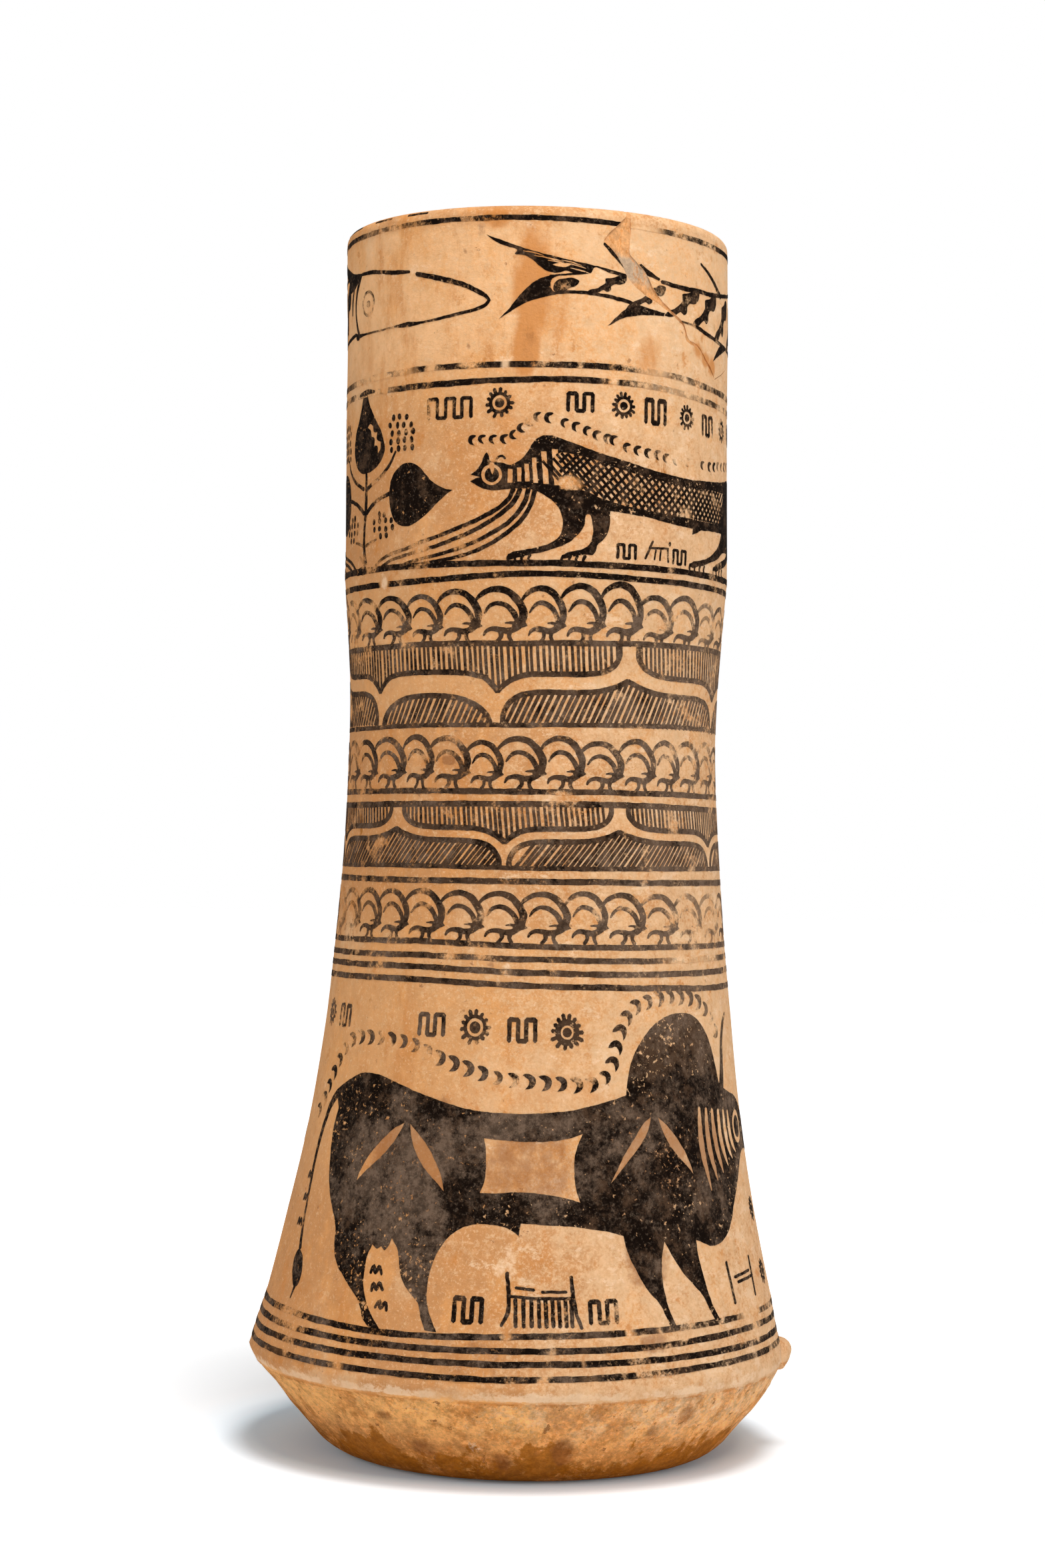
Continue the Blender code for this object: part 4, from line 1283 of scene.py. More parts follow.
PLANT_MIDDLE = (
    blot(((-94.5, 483, CORNER), (-92.5, 480.5), (-91, 477), (-88, 472.5), (-84, 467.5), (-81, 463.5),
          (-79, 459), (-78.2, 455.5), (-79.5, 452), (-83, 448.6), (-88, 446.5), (-94.5, 445.5),
          (-100.5, 446.5), (-105, 449.6), (-107.8, 455), (-107.5, 460), (-105.5, 465), (-102.5, 469),
          (-100, 473), (-98, 477), (-96.6, 480.5)), 1.3),
    bare(((-92.5, 466, CORNER), (-90, 467.6), (-87.4, 466.2, CORNER), (-87, 463.8), (-84, 463.2, CORNER),
          (-84.4, 460), (-81.2, 458.8, CORNER), (-81.6, 455.2), (-83.6, 453.6, CORNER), (-84, 457),
          (-86.6, 457.6, CORNER), (-86.4, 460.6), (-89, 461.6, CORNER), (-89.4, 464.2))),
    stroke(((-94, 446, 1.9), (-93.9, 438, 2.1), (-94.2, 428, 2.5), (-95.2, 420, 2), (-95, 412, 2.2),
            (-94, 407, 2.8), (-93.5, 404, 3.4)), 0.95),
    stroke(((-99.5, 408, 0.9), (-96, 405.6, 1.6), (-92, 404.2, 2)), 0.8),
    blot(((-107, 400.5), (-101, 402.5), (-96, 403.5), (-90, 402.5), (-84, 400.6), (-92, 399.8),
          (-100, 399.6)), 0.9),
    stroke(((-101, 481.3, 1.2), (-94, 482.2, 2.6), (-86, 481.8, 1.2)), 0.9),
)
SEED_ROWS = ((-68, 468.6, 3), (-67.6, 465, 4), (-66.4, 461.6, 4), (-67.4, 458, 4), (-66.8, 454.6, 4),
             (-79.7, 425.9, 2), (-79, 422.9, 4), (-78.6, 419.5, 4), (-78, 416, 2))
SEED = (disc(0, 0, 1.15, 1.5, points=8),)
SEED_SPACING = 4.4
PLANT_WEAR = ((-66, 407, 16, 5, 0.25), (-99, 408, 6, 5, 0.3))

# Ropes from the feline's collar to the foot of the plant
ROPES = (
    ((-10.5, 434.8), (-12, 431), (-16, 427), (-21, 424), (-28, 420.5), (-35, 418), (-45, 414.5),
     (-55, 411.8), (-63, 409.5), (-73, 407.5), (-80, 405.2), (-86, 401.5)),
    ((-7.5, 434.8), (-9.3, 430.5), (-14, 425.3), (-20, 421), (-27, 417), (-35, 413.7), (-45, 410.5),
     (-55, 408.3), (-65, 406.3), (-73, 404.6), (-80, 401.8)),
    ((-3.8, 435), (-5, 430), (-8, 424.8), (-12, 420.4), (-18, 416.4), (-25, 412.7), (-33, 409.5),
     (-42, 406.9), (-52, 405), (-60, 403.6), (-66, 402)),
    ((-1, 434.5), (-2.2, 429.5), (-4.7, 424), (-9, 418.8), (-14.5, 414.3), (-21, 410.2), (-28, 407.2),
     (-35, 405.2), (-43, 403.8), (-55, 402.4)),
)


class JAR_OT_plant(bpy.types.Operator):
    """Paint the plant and the ropes that lead to it"""

    bl_idname = "jar.plant"
    bl_label = "Plant and ropes"

    def execute(self, context):
        right = list(PLANT_RIGHT)
        places = []
        for row, (x, z, count) in enumerate(SEED_ROWS):
            for i in range(count):
                shake = noise.noise_vector(Vector((i * 3.7, row * 2.3, 1)))
                places.append((x + (i - (count - 1) / 2) * SEED_SPACING + shake.x * 0.9, z + shake.y * 0.7,
                               1 + 0.2 * shake.z, 1 + 0.2 * shake.x, 25 * shake.y, 0.9))
        right += stamp(SEED, places)
        for rope in ROPES:
            widths = np.interp(range(len(rope)), (0, 3, len(rope) - 1), (2.1, 1.9, 1.4))
            right.append(stroke([(x, z, w) for (x, z), w in zip(rope, widths)], 0.85))
        paint("plant", list(PLANT_MIDDLE) + right + mirrored(right, STEM), NECK_BAND,
              PLANT_WEAR)
        return {"FINISHED"}


# Feline, facing left towards the plant
FELINE = (
    blot(((-29.8, 441, CORNER), (-27.5, 442.8), (-25, 446), (-24, 449), (-22.8, 450.7), (-21.7, 449.3),
          (-21.3, 447.2), (-18.5, 446.4), (-15.5, 446.2), (-12.5, 445.2), (-9, 446.5), (-6, 449), (-4, 452),
          (-2, 455.3), (0.5, 457.5), (3, 458.4), (6, 458.4), (9, 457.5), (15, 455.6), (22, 453.3),
          (30, 451), (38, 449.3), (45, 447.7), (52, 446.3), (60, 445.1), (70, 444.1), (80, 443.8),
          (90, 444.3), (100, 445), (110, 446), (118, 447), (126, 448.4), (133, 447.4), (138.5, 443.4),
          (141, 436.5), (140, 428.5), (136, 421.5), (128, 415.8), (113, 413.5), (104, 409.8), (95, 407.6),
          (91, 406.4), (85, 405.2), (80, 404.6), (78.6, 405.6), (80.5, 406.8), (85, 407.8), (92, 409.2),
          (101, 412.8), (108, 417.2), (112, 422.5, CORNER), (105, 422.4), (95, 422.1), (86, 421.8),
          (80, 421.9), (74, 422.2), (66, 422.8), (58, 423.7), (52, 424.7), (46, 425.1), (40, 425.7),
          (33, 426.3, CORNER), (33, 421.5), (32, 416.8), (29.5, 413), (27, 410.8), (26.6, 408.6),
          (25.6, 407), (21, 406.4), (15, 405.2), (11.4, 404.6), (12.5, 406.4), (17, 408), (21, 409.2),
          (23.7, 411.4), (25, 415), (24.8, 420), (23.2, 424.4), (22.5, 424.4), (21, 419), (17.5, 414.4),
          (13.5, 411.2), (8, 408.9), (2, 407), (-3, 405.9), (-8, 404.6), (-12.8, 403.8), (-11.6, 406.2),
          (-5, 408), (1, 409.4), (6.5, 411.4), (10, 414), (11.3, 417.3), (11.4, 421.4), (10, 426),
          (7, 429.6), (3, 432.2), (-1, 434.2), (-6, 435), (-12, 434.6), (-16, 434.3), (-20, 434.1),
          (-24, 434.8), (-27, 436.3), (-30, 438.3, CORNER), (-27.5, 439.4), (-25.5, 439.9),
          (-27.5, 440.4)), 1.3),
    disc(-20.3, 441, 4.7, ink=RESERVE, points=22),
    disc(-20.2, 440.8, 3.2, ink=1.0, points=18),
    bare(((-21, 446.4), (-19.4, 446.4), (-19.2, 443), (-20, 441), (-20.9, 443))),
    stroke(((-18.6, 446.6, 1), (-17.6, 448.6, 1), (-15.6, 449.2, 1), (-14.4, 448, 0.8)), 0.9),
    bare(((9, 450.3), (18, 450), (25, 448.7), (30, 447), (38, 445), (46, 443.2), (55, 442), (65, 441),
          (75, 440.4), (85, 440.4), (95, 440.8), (117, 441.4, CORNER), (112, 434), (109, 426, CORNER),
          (85, 425.9), (75, 426.3), (65, 426.7), (55, 427.5), (48, 428.1), (40, 429.1), (33, 430.6),
          (27, 432.2), (22, 434.4), (15, 435), (9, 437.4), (6.6, 440.5), (7.4, 444.5))),
    stroke(((136, 445, 4), (143, 450, 3.4), (149, 457, 3), (150, 464, 2.8), (146, 468.5, 2.6),
            (140.5, 468, 2)), 0.95),
    blot(((80, 419.2, CORNER), (83.5, 420.2), (88, 422.2), (80.8, 422.4)), 0.95),
    blot(((132, 418), (122, 412.6), (112, 409.8), (104, 407.6), (100.6, 405.6), (102, 404.6), (108, 405.6),
          (116, 407.4), (126, 410.4), (136, 416)), 1.0),
)
# Bare bars of its neck, as the x and height of the foot and of the top, and the width
NECK_BARS = ((-12, 437.5, -12, 443.4, 2.3), (-7.9, 438, -8.1, 444.2, 1.9), (-4.3, 438, -4.9, 445.8, 2.1),
             (-0.7, 437.4, -1.7, 448.5, 2), (3.9, 437.1, 2.5, 451.4, 2.4), (8.8, 436.6, 7.4, 452.4, 2.7))
# Edges of the hatched coat
COAT_TOP = ((5, 447), (9, 450.6), (18, 450.3), (30, 447.3), (46, 443.5), (65, 441.3), (85, 440.7),
            (118, 441.4))
COAT_FOOT = ((9, 452), (10.4, 437.2), (15, 434.8), (22, 434.2), (33, 430.4), (48, 427.9), (65, 426.5),
             (112, 425.7))
FELINE_WEAR = ((14.5, 437.5, 6, 3.6, 0.8), (-20, 446, 3, 2, 0.4))
CLAWS = (-12.3, -9.2, -6.2, -3.2, 11.4, 14.6, 17.8, 21, 78.6, 82.6, 86.6, 90.4, 100.4, 104.4, 108.4, 112.4)
CLAW_Z = 402.4
CLAW = (stroke(((0.6, 3.4, 1.5), (-0.2, 1.6, 1.2), (0.5, 0, 1)), 0.95, 0.7),)
LONGEST_BAR = 45
BAR_STEPS = 226
HATCH_BAR = (blot(((-0.55, 0, CORNER), (0.55, 0, CORNER), (0.5, 1, CORNER), (-0.5, 1, CORNER)), 1.0, 0.34),)


def hatch(starts, lean, top, foot, width, ink, least=0.6):
    """Straight bars from one edge to another. starts are their x on the edge that foot gives, and
    top and foot are the edges as functions of x. Lean is in degrees from upright, to the right.
    Bars shorter than least are left out."""
    places = []
    slope = math.tan(math.radians(lean))
    rises = np.linspace(0, LONGEST_BAR, BAR_STEPS)
    for x in starts:
        low = foot(x)
        out = np.flatnonzero(low + rises >= [top(x + r * slope) for r in rises])
        if len(out) and rises[out[0]] > least:
            length = rises[out[0]] / math.cos(math.radians(lean))
            places.append((x, low, width / 1.1, length, -lean, ink))
    return stamp(HATCH_BAR, places) if places else []


def edge(points):
    """A function of x through given points."""
    xs, zs = zip(*points)
    return lambda x: float(np.interp(x, xs, zs, left=zs[0], right=zs[-1]))


class JAR_OT_feline(bpy.types.Operator):
    """Paint the two felines"""

    bl_idname = "jar.feline"
    bl_label = "Felines"

    def execute(self, context):
        shapes = list(FELINE)
        for foot_x, low, top_x, high, wide in NECK_BARS:
            shapes.append(bare(((foot_x - wide / 2, low, CORNER), (foot_x + wide / 2, low, CORNER),
                                (top_x + wide / 2, high, CORNER), (top_x - wide / 2, high, CORNER))))
        top, foot = edge(COAT_TOP), edge(COAT_FOOT)
        flip_top, flip_foot = (lambda x: top(-x)), (lambda x: foot(-x))
        shapes += hatch([9.5, 9.9, 10.2, *np.arange(11, 111, 3.7)], 46, top, foot, 1.4, 0.95)
        back = hatch(np.arange(-118, -10, 3.8), 42, flip_top, flip_foot, 1.3, 0.9)
        shapes += [(outline * (-1, 1), ink) for outline, ink in back]
        shapes += stamp(CLAW, [(x, CLAW_Z, 1, 1, 0, 1) for x in CLAWS])
        paint("feline", shapes + mirrored(shapes, STEM), NECK_BAND, FELINE_WEAR)
        return {"FINISHED"}


# Small signs


def meander(legs, low, high, width, ink=1.0):
    """A squared wave of upright legs at the given x, joined at the top and the foot by turns."""
    shapes = [line(((x, low), (x, high)), width, ink) for x in legs]
    for i, (x, after) in enumerate(zip(legs, legs[1:])):
        level = low if i % 2 else high
        shapes.append(line(((x, level), (after, level)), width, ink))
    return shapes


# A sigma is a squared wave, a crescent one curved dab and a zigzag one stroke
SIGMA = tuple(meander((-5.7, -2, 1.4, 5.2), -4, 4, 1.8))
CRESCENT = (blot(((-1.7, 1.4), (-0.2, 1.8), (1.3, 1.1), (1.7, -0.4), (0.8, -1.7), (-0.9, -2.1, CORNER),
                  (-0.1, -1), (0.1, -0.1), (-0.3, 0.5), (-1, 0.8)), 1.0, 0.7),)
ZIGZAG = (stroke(((-2.8, -1.4, 1.2), (-1.7, 1.4, 1.5), (-0.4, -1.1, 1.4), (0.9, 1.4, 1.5),
                  (2.5, -1.5, 1.1)), 1.0, 0.7),)


def rosette(x, z, reach, petals, ink, ring_out=0.52, ring_in=0.33):
    """A spiked disc with a bare ring about its eye."""
    shapes = []
    for i in range(petals):
        turn = math.tau * (i + 0.2 * math.sin(7 * i)) / petals
        out = reach * (0.95 + 0.08 * math.sin(5 * i))
        across, up = math.cos(turn), math.sin(turn)
        shapes.append(stroke(((x + 0.5 * reach * across, z + 0.5 * reach * up, reach * 0.22),
                              (x + out * across, z + out * up, reach * 0.24)), ink, 0.8))
    shapes.append(disc(x, z, reach * 0.75, ink=ink, points=20))
    shapes.append(disc(x, z, reach * ring_out, ink=RESERVE, points=16))
    shapes.append(disc(x, z, reach * ring_in, ink=ink, points=12))
    return shapes


NECK_SIGMAS = ((18.7, 473.4, 1, 0.95, 0, 0.95),
               (56, 471.8, 1, 1.25, 0, 0.95), (94.3, 469.6, 0.9, 1.05, 0, 0.9),
               (41.5, 408.8, 0.8, 0.75, 0, 1.0), (71.5, 408.2, 0.75, 0.75, 0, 1.0))
NECK_ROSETTES = ((-17.3, 472.5, 6.4, 13, 0.75), (38.7, 473, 5.8, 14, 0.95), (76, 471.3, 5.4, 13, 0.85),
                 (113, 470, 5.2, 12, 0.8), (131, 470, 5, 12, 0.8))
NECK_CRESCENTS = (
    (-29.5, 456.5), (-25, 456.8), (-20, 456.7), (-15, 456.7), (-11, 458.5), (-7.5, 461.5), (-4, 464.5),
    (-0.5, 466.5), (4.5, 466.3), (11.5, 464.3), (16.5, 462.8), (21.5, 461.2), (26, 459.5), (31, 458.3),
    (34, 457.8), (40.5, 455), (46, 454), (51.5, 453.3), (57, 453), (62, 452), (68, 451.6), (76, 451.4),
    (88.5, 451.5), (95.5, 451.5), (101, 452), (106, 453), (112, 453.4), (118, 454), (125, 455),
)
NECK_STROKES = (
    *meander((-51.2, -46.8, -42.5, -38.3, -34.6, -30.3), 466.6, 475, 1.6, 0.74),
    stroke(((51, 406.3, 1), (53, 410.5, 1.2), (55, 414.3, 0.9)), 1.0),
    line(((54, 411.2), (64, 411.6)), 1, 1.0),
    line(((56, 406), (56.5, 410.5)), 0.9, 0.9),
    line(((59, 406), (59.5, 410.5)), 0.9, 0.9),
    line(((64, 405.6), (63.6, 411)), 1.1, 1.0),
    disc(64.8, 413.7, 0.8, 1, ink=1.0, points=8),
)
NECK_SIGN_WEAR = ((72, 452, 8, 3, 0.6), (-3, 464, 6, 4, 0.45))
BULL_SIGMAS = ((-46.5, 199.4, 1.15, 1.1, 0, 0.9), (-2.3, 198.2, 1.1, 1.15, 0, 0.95),
               (-108, 200.4, 1, 1.1, 0, 0.95), (-20.5, 79.4, 0.95, 1.2, 0, 0.9),
               (31, 79, 0.95, 1.1, 0, 0.75))
BULL_ZIGZAGS = ((-60.5, 93, 1, 1.1, 0, 0.9), (-59, 86, 1, 1.1, 10, 0.9), (-55.5, 78.5, 1, 1.1, -8, 0.9),
                (-117, 128, 0.9, 1, 0, 0.8), (-116.5, 118, 0.9, 1, 0, 0.8), (-117, 107, 0.9, 1, 0, 0.7))
BULL_ROSETTES = ((-24.8, 199, 7.4, 13, 0.95, 0.54, 0.36), (18.3, 197.5, 7.7, 14, 1.1, 0.4, 0.28),
                 (-127, 201, 6, 12, 0.95, 0.46, 0.3), (137, 114, 5.2, 12, 0.8, 0.46, 0.3),
                 (134, 86, 5.2, 12, 0.8, 0.46, 0.3))
BULL_CRESCENTS = ((-124, 157), (-117.5, 165), (-113, 173.3), (-108, 180.6), (-102.5, 186.6), (-95, 191.6),
                  (-86.5, 192.2), (-68, 192), (-59, 191.2), (-43, 185.8), (-27, 181.2), (-13, 177.6),
                  (1.5, 176.4), (16.5, 175.5), (31, 175.8), (38, 180), (41, 187), (42.6, 193), (45, 199),
                  (48, 204), (53, 208.6), (59, 210.4), (66, 212), (79, 212.4), (87, 212), (94, 210.6),
                  (101, 207), (107, 202.6), (111.5, 196.6), (114.5, 191))
BULL_STROKES = (
    stroke(((-6.5, 95.5, 1.4), (-5.7, 88, 1.6), (-6, 78, 1.5), (-8, 73.5, 1.2)), 0.9),
    stroke(((18.5, 94, 1.3), (19, 86, 1.6), (20, 79, 1.5), (22, 72.5, 1.2)), 0.9),
    line(((-3, 89.3), (4, 88.5)), 1.2, 0.85),
    line(((7, 87.6), (16.5, 87.6)), 1.2, 0.85),
    line(((-5, 85.8), (4, 85), (18, 85)), 1.3, 0.9),
    line(((95.5, 95), (97, 77)), 1.6, 1.15),
    line(((100, 88), (114, 89.3)), 1.3, 1.15),
    line(((102, 85.5), (117, 86.7)), 1.3, 1.15),
    line(((116.5, 95), (116.5, 78)), 1.5, 1.1),
)
COMB_TEETH = (-3, 0, 3, 5.8, 8.5, 11, 13.5, 16, 18.2)
COMB_TOP = 84.6
COMB_FOOT = 73.2
CRESCENT_SPACING = 7.2


def even_steps(path, spacing):
    """Places at even steps along a smooth path."""
    way = smooth_path(path, step=0.5)
    run = np.concatenate([[0], np.cumsum(np.hypot(*np.diff(way, axis=0).T))])
    stops = np.arange(0, run[-1], spacing)
    return list(zip(np.interp(stops, run, way[:, 0]), np.interp(stops, run, way[:, 1])))


def crescent_row(row, size, ink):
    """Crescents along a row of places, turned with it. A size below zero opens them to +X."""
    places = []
    for i, (x, z) in enumerate(row):
        (x0, z0), (x1, z1) = row[max(i - 1, 0)], row[min(i + 1, len(row) - 1)]
        turn = math.degrees(math.atan2(z1 - z0, x1 - x0)) * 0.6
        shake = noise.noise(Vector((i * 1.7, len(row), 2)))
        places.append((x, z, size * (1 + 0.25 * shake), abs(size) * (1 + 0.2 * shake), turn + 14 * shake,
                       ink * (0.9 + 0.4 * shake)))
    return stamp(CRESCENT, places)


class JAR_OT_signs(bpy.types.Operator):
    """Paint the small signs round the felines and the bulls"""

    bl_idname = "jar.signs"
    bl_label = "Small signs"

    def execute(self, context):
        neck = stamp(SIGMA, NECK_SIGMAS) + list(NECK_STROKES)
        neck += crescent_row(NECK_CRESCENTS, -1.15, 0.95)
        for place in NECK_ROSETTES:
            neck += rosette(*place)
        paint("feline_signs", neck + mirrored(neck, STEM), NECK_BAND, NECK_SIGN_WEAR)
        bulls = stamp(SIGMA, BULL_SIGMAS) + list(BULL_STROKES) + stamp(ZIGZAG, BULL_ZIGZAGS)
        bulls += [line(((x, COMB_TOP), (x + 0.3, COMB_FOOT)), 1.5, 0.85) for x in COMB_TEETH]
        bulls += crescent_row(even_steps(BULL_CRESCENTS, CRESCENT_SPACING), 1.75, 0.82)
        for place in BULL_ROSETTES:
            bulls += rosette(*place)
        paint("bull_signs", bulls + shifted(bulls, math.pi * BULL_BAND), BULL_BAND)
        return {"FINISHED"}


# Rows of horned animals, drawn from the tip of the head and the ground
HORNED = (
    stroke(((0, 8.5, 3), (0.6, 13, 3.2), (-1.4, 17.5, 3.1), (-4.5, 21, 2.9), (-8.5, 22.6, 2.6),
            (-12.5, 22.2, 2.3), (-16, 20.2, 1.8), (-18.8, 16.6, 0.8)), 0.9),
    stroke(((-1.6, 9.3, 2.1), (-3.5, 13.2, 2.2), (-6.5, 15.9, 2.1), (-10, 16.6, 1.9), (-12.6, 15.2, 1.5),
            (-14.5, 12.4, 0.7)), 0.85),
    blot(((-3.5, 8.4), (-1, 9.6), (0.8, 9), (2.4, 7.2, CORNER), (0, 6.1), (-2.5, 6), (-3.6, 7)), 1.0),
    stroke(((-2, 8, 1.3), (-4.5, 8.4, 1.1), (-6.4, 8.2, 0.5)), 0.9),
    stroke(((-14.8, 3, 0.8), (-14, 4.6, 1.5), (-12, 5.7, 1.9), (-9, 5.5, 2.4), (-6, 4.9, 2.6),
            (-3, 5.6, 2.7), (-1, 7, 2.8)), 0.95),
    stroke(((-8, 4.8, 2.1), (-8, 2.2, 1.6), (-9.5, 0.2, 1.6)), 0.9),
    stroke(((-4.5, 4.8, 2.1), (-4.8, 2.3, 1.6), (-3.8, 0.1, 1.6)), 0.9),
)
# A row is its name, band radius, ground, number of animals all round, then their head, highest
# point and ink where they show
HORNED_ROWS = (
    ("upper_horned_row", WAIST_BAND, 367.5, 30,
     ((-98, 388, 0.7), (-78, 388, 0.95), (-58.5, 388, 0.9), (-41.5, 388, 0.9), (-23, 390, 0.95),
      (-3, 391, 1), (14, 391.5, 0.95), (32, 393, 1), (50.5, 394.5, 1), (68.5, 389.5, 0.75),
      (87.5, 390.5, 0.85), (105.5, 388.5, 0.7))),
    ("middle_horned_row", WAIST_BAND, 303, 31,
     ((-98.5, 324, 0.8), (-81, 324, 0.9), (-61, 325, 0.9), (-45.5, 326, 0.9), (-27.5, 325.5, 0.65),
      (-12.5, 323.6, 0.9), (6.5, 325.5, 0.95), (24, 326, 1), (42.5, 324, 1), (60, 325.5, 0.9),
      (75.5, 325.3, 0.9), (94, 325.5, 0.8), (113, 325.7, 0.75))),
    ("lower_horned_row", LOWER_BAND, 235.8, 31,
     ((-110, 257, 0.6), (-92, 257, 0.7), (-75, 257.5, 0.8), (-57.5, 257.5, 0.85), (-38.5, 258, 0.9),
      (-20, 257.5, 0.95), (-1, 257.5, 1), (18.5, 257.5, 0.95), (36, 258, 0.95), (55.5, 257.5, 0.9),
      (75.5, 257, 0.75), (94.5, 257, 0.7), (116, 257, 0.65))),
)
HORNED_HEIGHT = 23.9
HORNED_SPACING = 17.6
SNOUT = 2.4


class JAR_OT_horned_rows(bpy.types.Operator):
    """Paint the three rows of horned animals"""

    bl_idname = "jar.horned_rows"
    bl_label = "Horned rows"

    def execute(self, context):
        for name, radius, ground, count, seen in HORNED_ROWS:
            first, last = seen[0][0] + math.tau * radius, seen[-1][0]
            hidden = count - len(seen)
            animals = list(seen)
            for i in range(1, hidden + 1):
                animals.append((last + (first - last) * i / (hidden + 1), seen[i % len(seen)][1], 0.9))
            animals.sort()
            places = []
            for i, (head, top, ink) in enumerate(animals):
                behind = animals[i - 1][0] - (math.tau * radius if i == 0 else 0)
                across = min(max((head - behind) / HORNED_SPACING, 0.86), 1.14)
                tall = (top + 1.1 - ground) / HORNED_HEIGHT
                places.append((head - SNOUT * across, ground, across, tall, 0, ink))
            paint(name, stamp(HORNED, places), radius)
        return {"FINISHED"}


# Bands of hatched brackets. A bracket hangs from its top line between two points, with a gap over
# the peak of the one that stands under it. Half a bracket runs from a point to the gap, as shares
# of the half's length and heights from the line.
HANGING_HALF = ((0, -21), (0.05, -18.2), (0.115, -15.7), (0.21, -13.9), (0.35, -13.3), (0.52, -13.2),
                (0.69, -12.8), (0.8, -11.6), (0.875, -9.2), (0.92, -5.2), (0.925, 0))
STANDING_HALF = ((0.04, 0), (0.045, 4.5), (0.08, 9), (0.155, 12.5), (0.27, 14.1), (0.44, 14.5), (0.6, 14.6),
                 (0.74, 15.2), (0.84, 16.4), (0.925, 18.2), (1, 20.3))
HANGING_ARCH = ((0, -21), (0.08, -18.2), (0.17, -15.6), (0.34, -13.8), (0.58, -13), (1, -12.7))
STANDING_DOME = ((0.1, 0), (0.12, 2.5), (0.2, 5.8), (0.36, 9.3), (0.57, 11.5), (0.85, 12.5), (1, 12.7))
SHORTEST_HANGING_BAR = 5.5
# A band is its name, its top and foot lines, the share of full height, the hatching's pitch, lean and
# width above and below, then its halves as (point, gap, whether it is the low arch)
BRACKET_BANDS = (
    ("upper_brackets", 367.2, 331.5, 1.0, (2.55, -4, 1.4), (2.9, 25, 1.75),
     ((-80.5, -130, False), (-80.5, -48.25, True), (-16, -48.25, True), (-16, 43.5, False),
      (109.5, 43.5, False), (109.5, 172, False), (235, 172, False), (235, 298, False), (360.5, 298, False),
      (360.5, 410.3, False))),
    ("lower_brackets", 296.6, 268.8, 0.8, (2.4, -6, 1.35), (2.6, 38, 1.55),
     ((-119.5, -66, False), (-11.5, -66, False), (-11.5, 39.7, False), (100.5, 39.7, False),
      (100.5, 154, False), (207.5, 154, False), (207.5, 261, False), (314, 261, False), (314, 367.5, False),
      (420.8, 367.5, False))),
)


class JAR_OT_brackets(bpy.types.Operator):
    """Paint the two bands of hatched brackets"""

    bl_idname = "jar.brackets"
    bl_label = "Hatched brackets"

    def execute(self, context):
        for name, top, foot, scale, above, below, halves in BRACKET_BANDS:
            shapes, hanging, standing = [], [], []
            for point, gap, arch in halves:
                span = gap - point
                over, below_it = (HANGING_ARCH, STANDING_DOME) if arch else (HANGING_HALF, STANDING_HALF)
                hang = [(point + t * span, top + z * scale) for t, z in over]
                stand = [(point + t * span, foot + z * scale) for t, z in below_it]
                shapes += [line(hang, 2.4, 0.95), line(stand, 2.4, 0.95)]
                hanging += [tuple(p) for p in smooth_path(hang)]
                standing += [tuple(p) for p in smooth_path(stand)]
            low, high = min(hanging)[0], max(hanging)[0]
            pitch, lean, width = above
            shapes += hatch(self.starts(low, high, pitch), lean, lambda x: top, edge(sorted(hanging)),
                            width, 0.88, SHORTEST_HANGING_BAR)
            pitch, lean, width = below
            shapes += hatch(self.starts(low, high, pitch), lean, edge(sorted(standing)), lambda x: foot,
                            width, 0.88)
            paint(name, shapes, WAIST_BAND)
        return {"FINISHED"}

    @staticmethod
    def starts(low, high, pitch):
        """Uneven places of hand-drawn bars."""
        even = np.arange(low + 1, high - 1, pitch)
        return [x + 0.5 * noise.noise(Vector((x * 0.7, low, pitch))) for x in even]


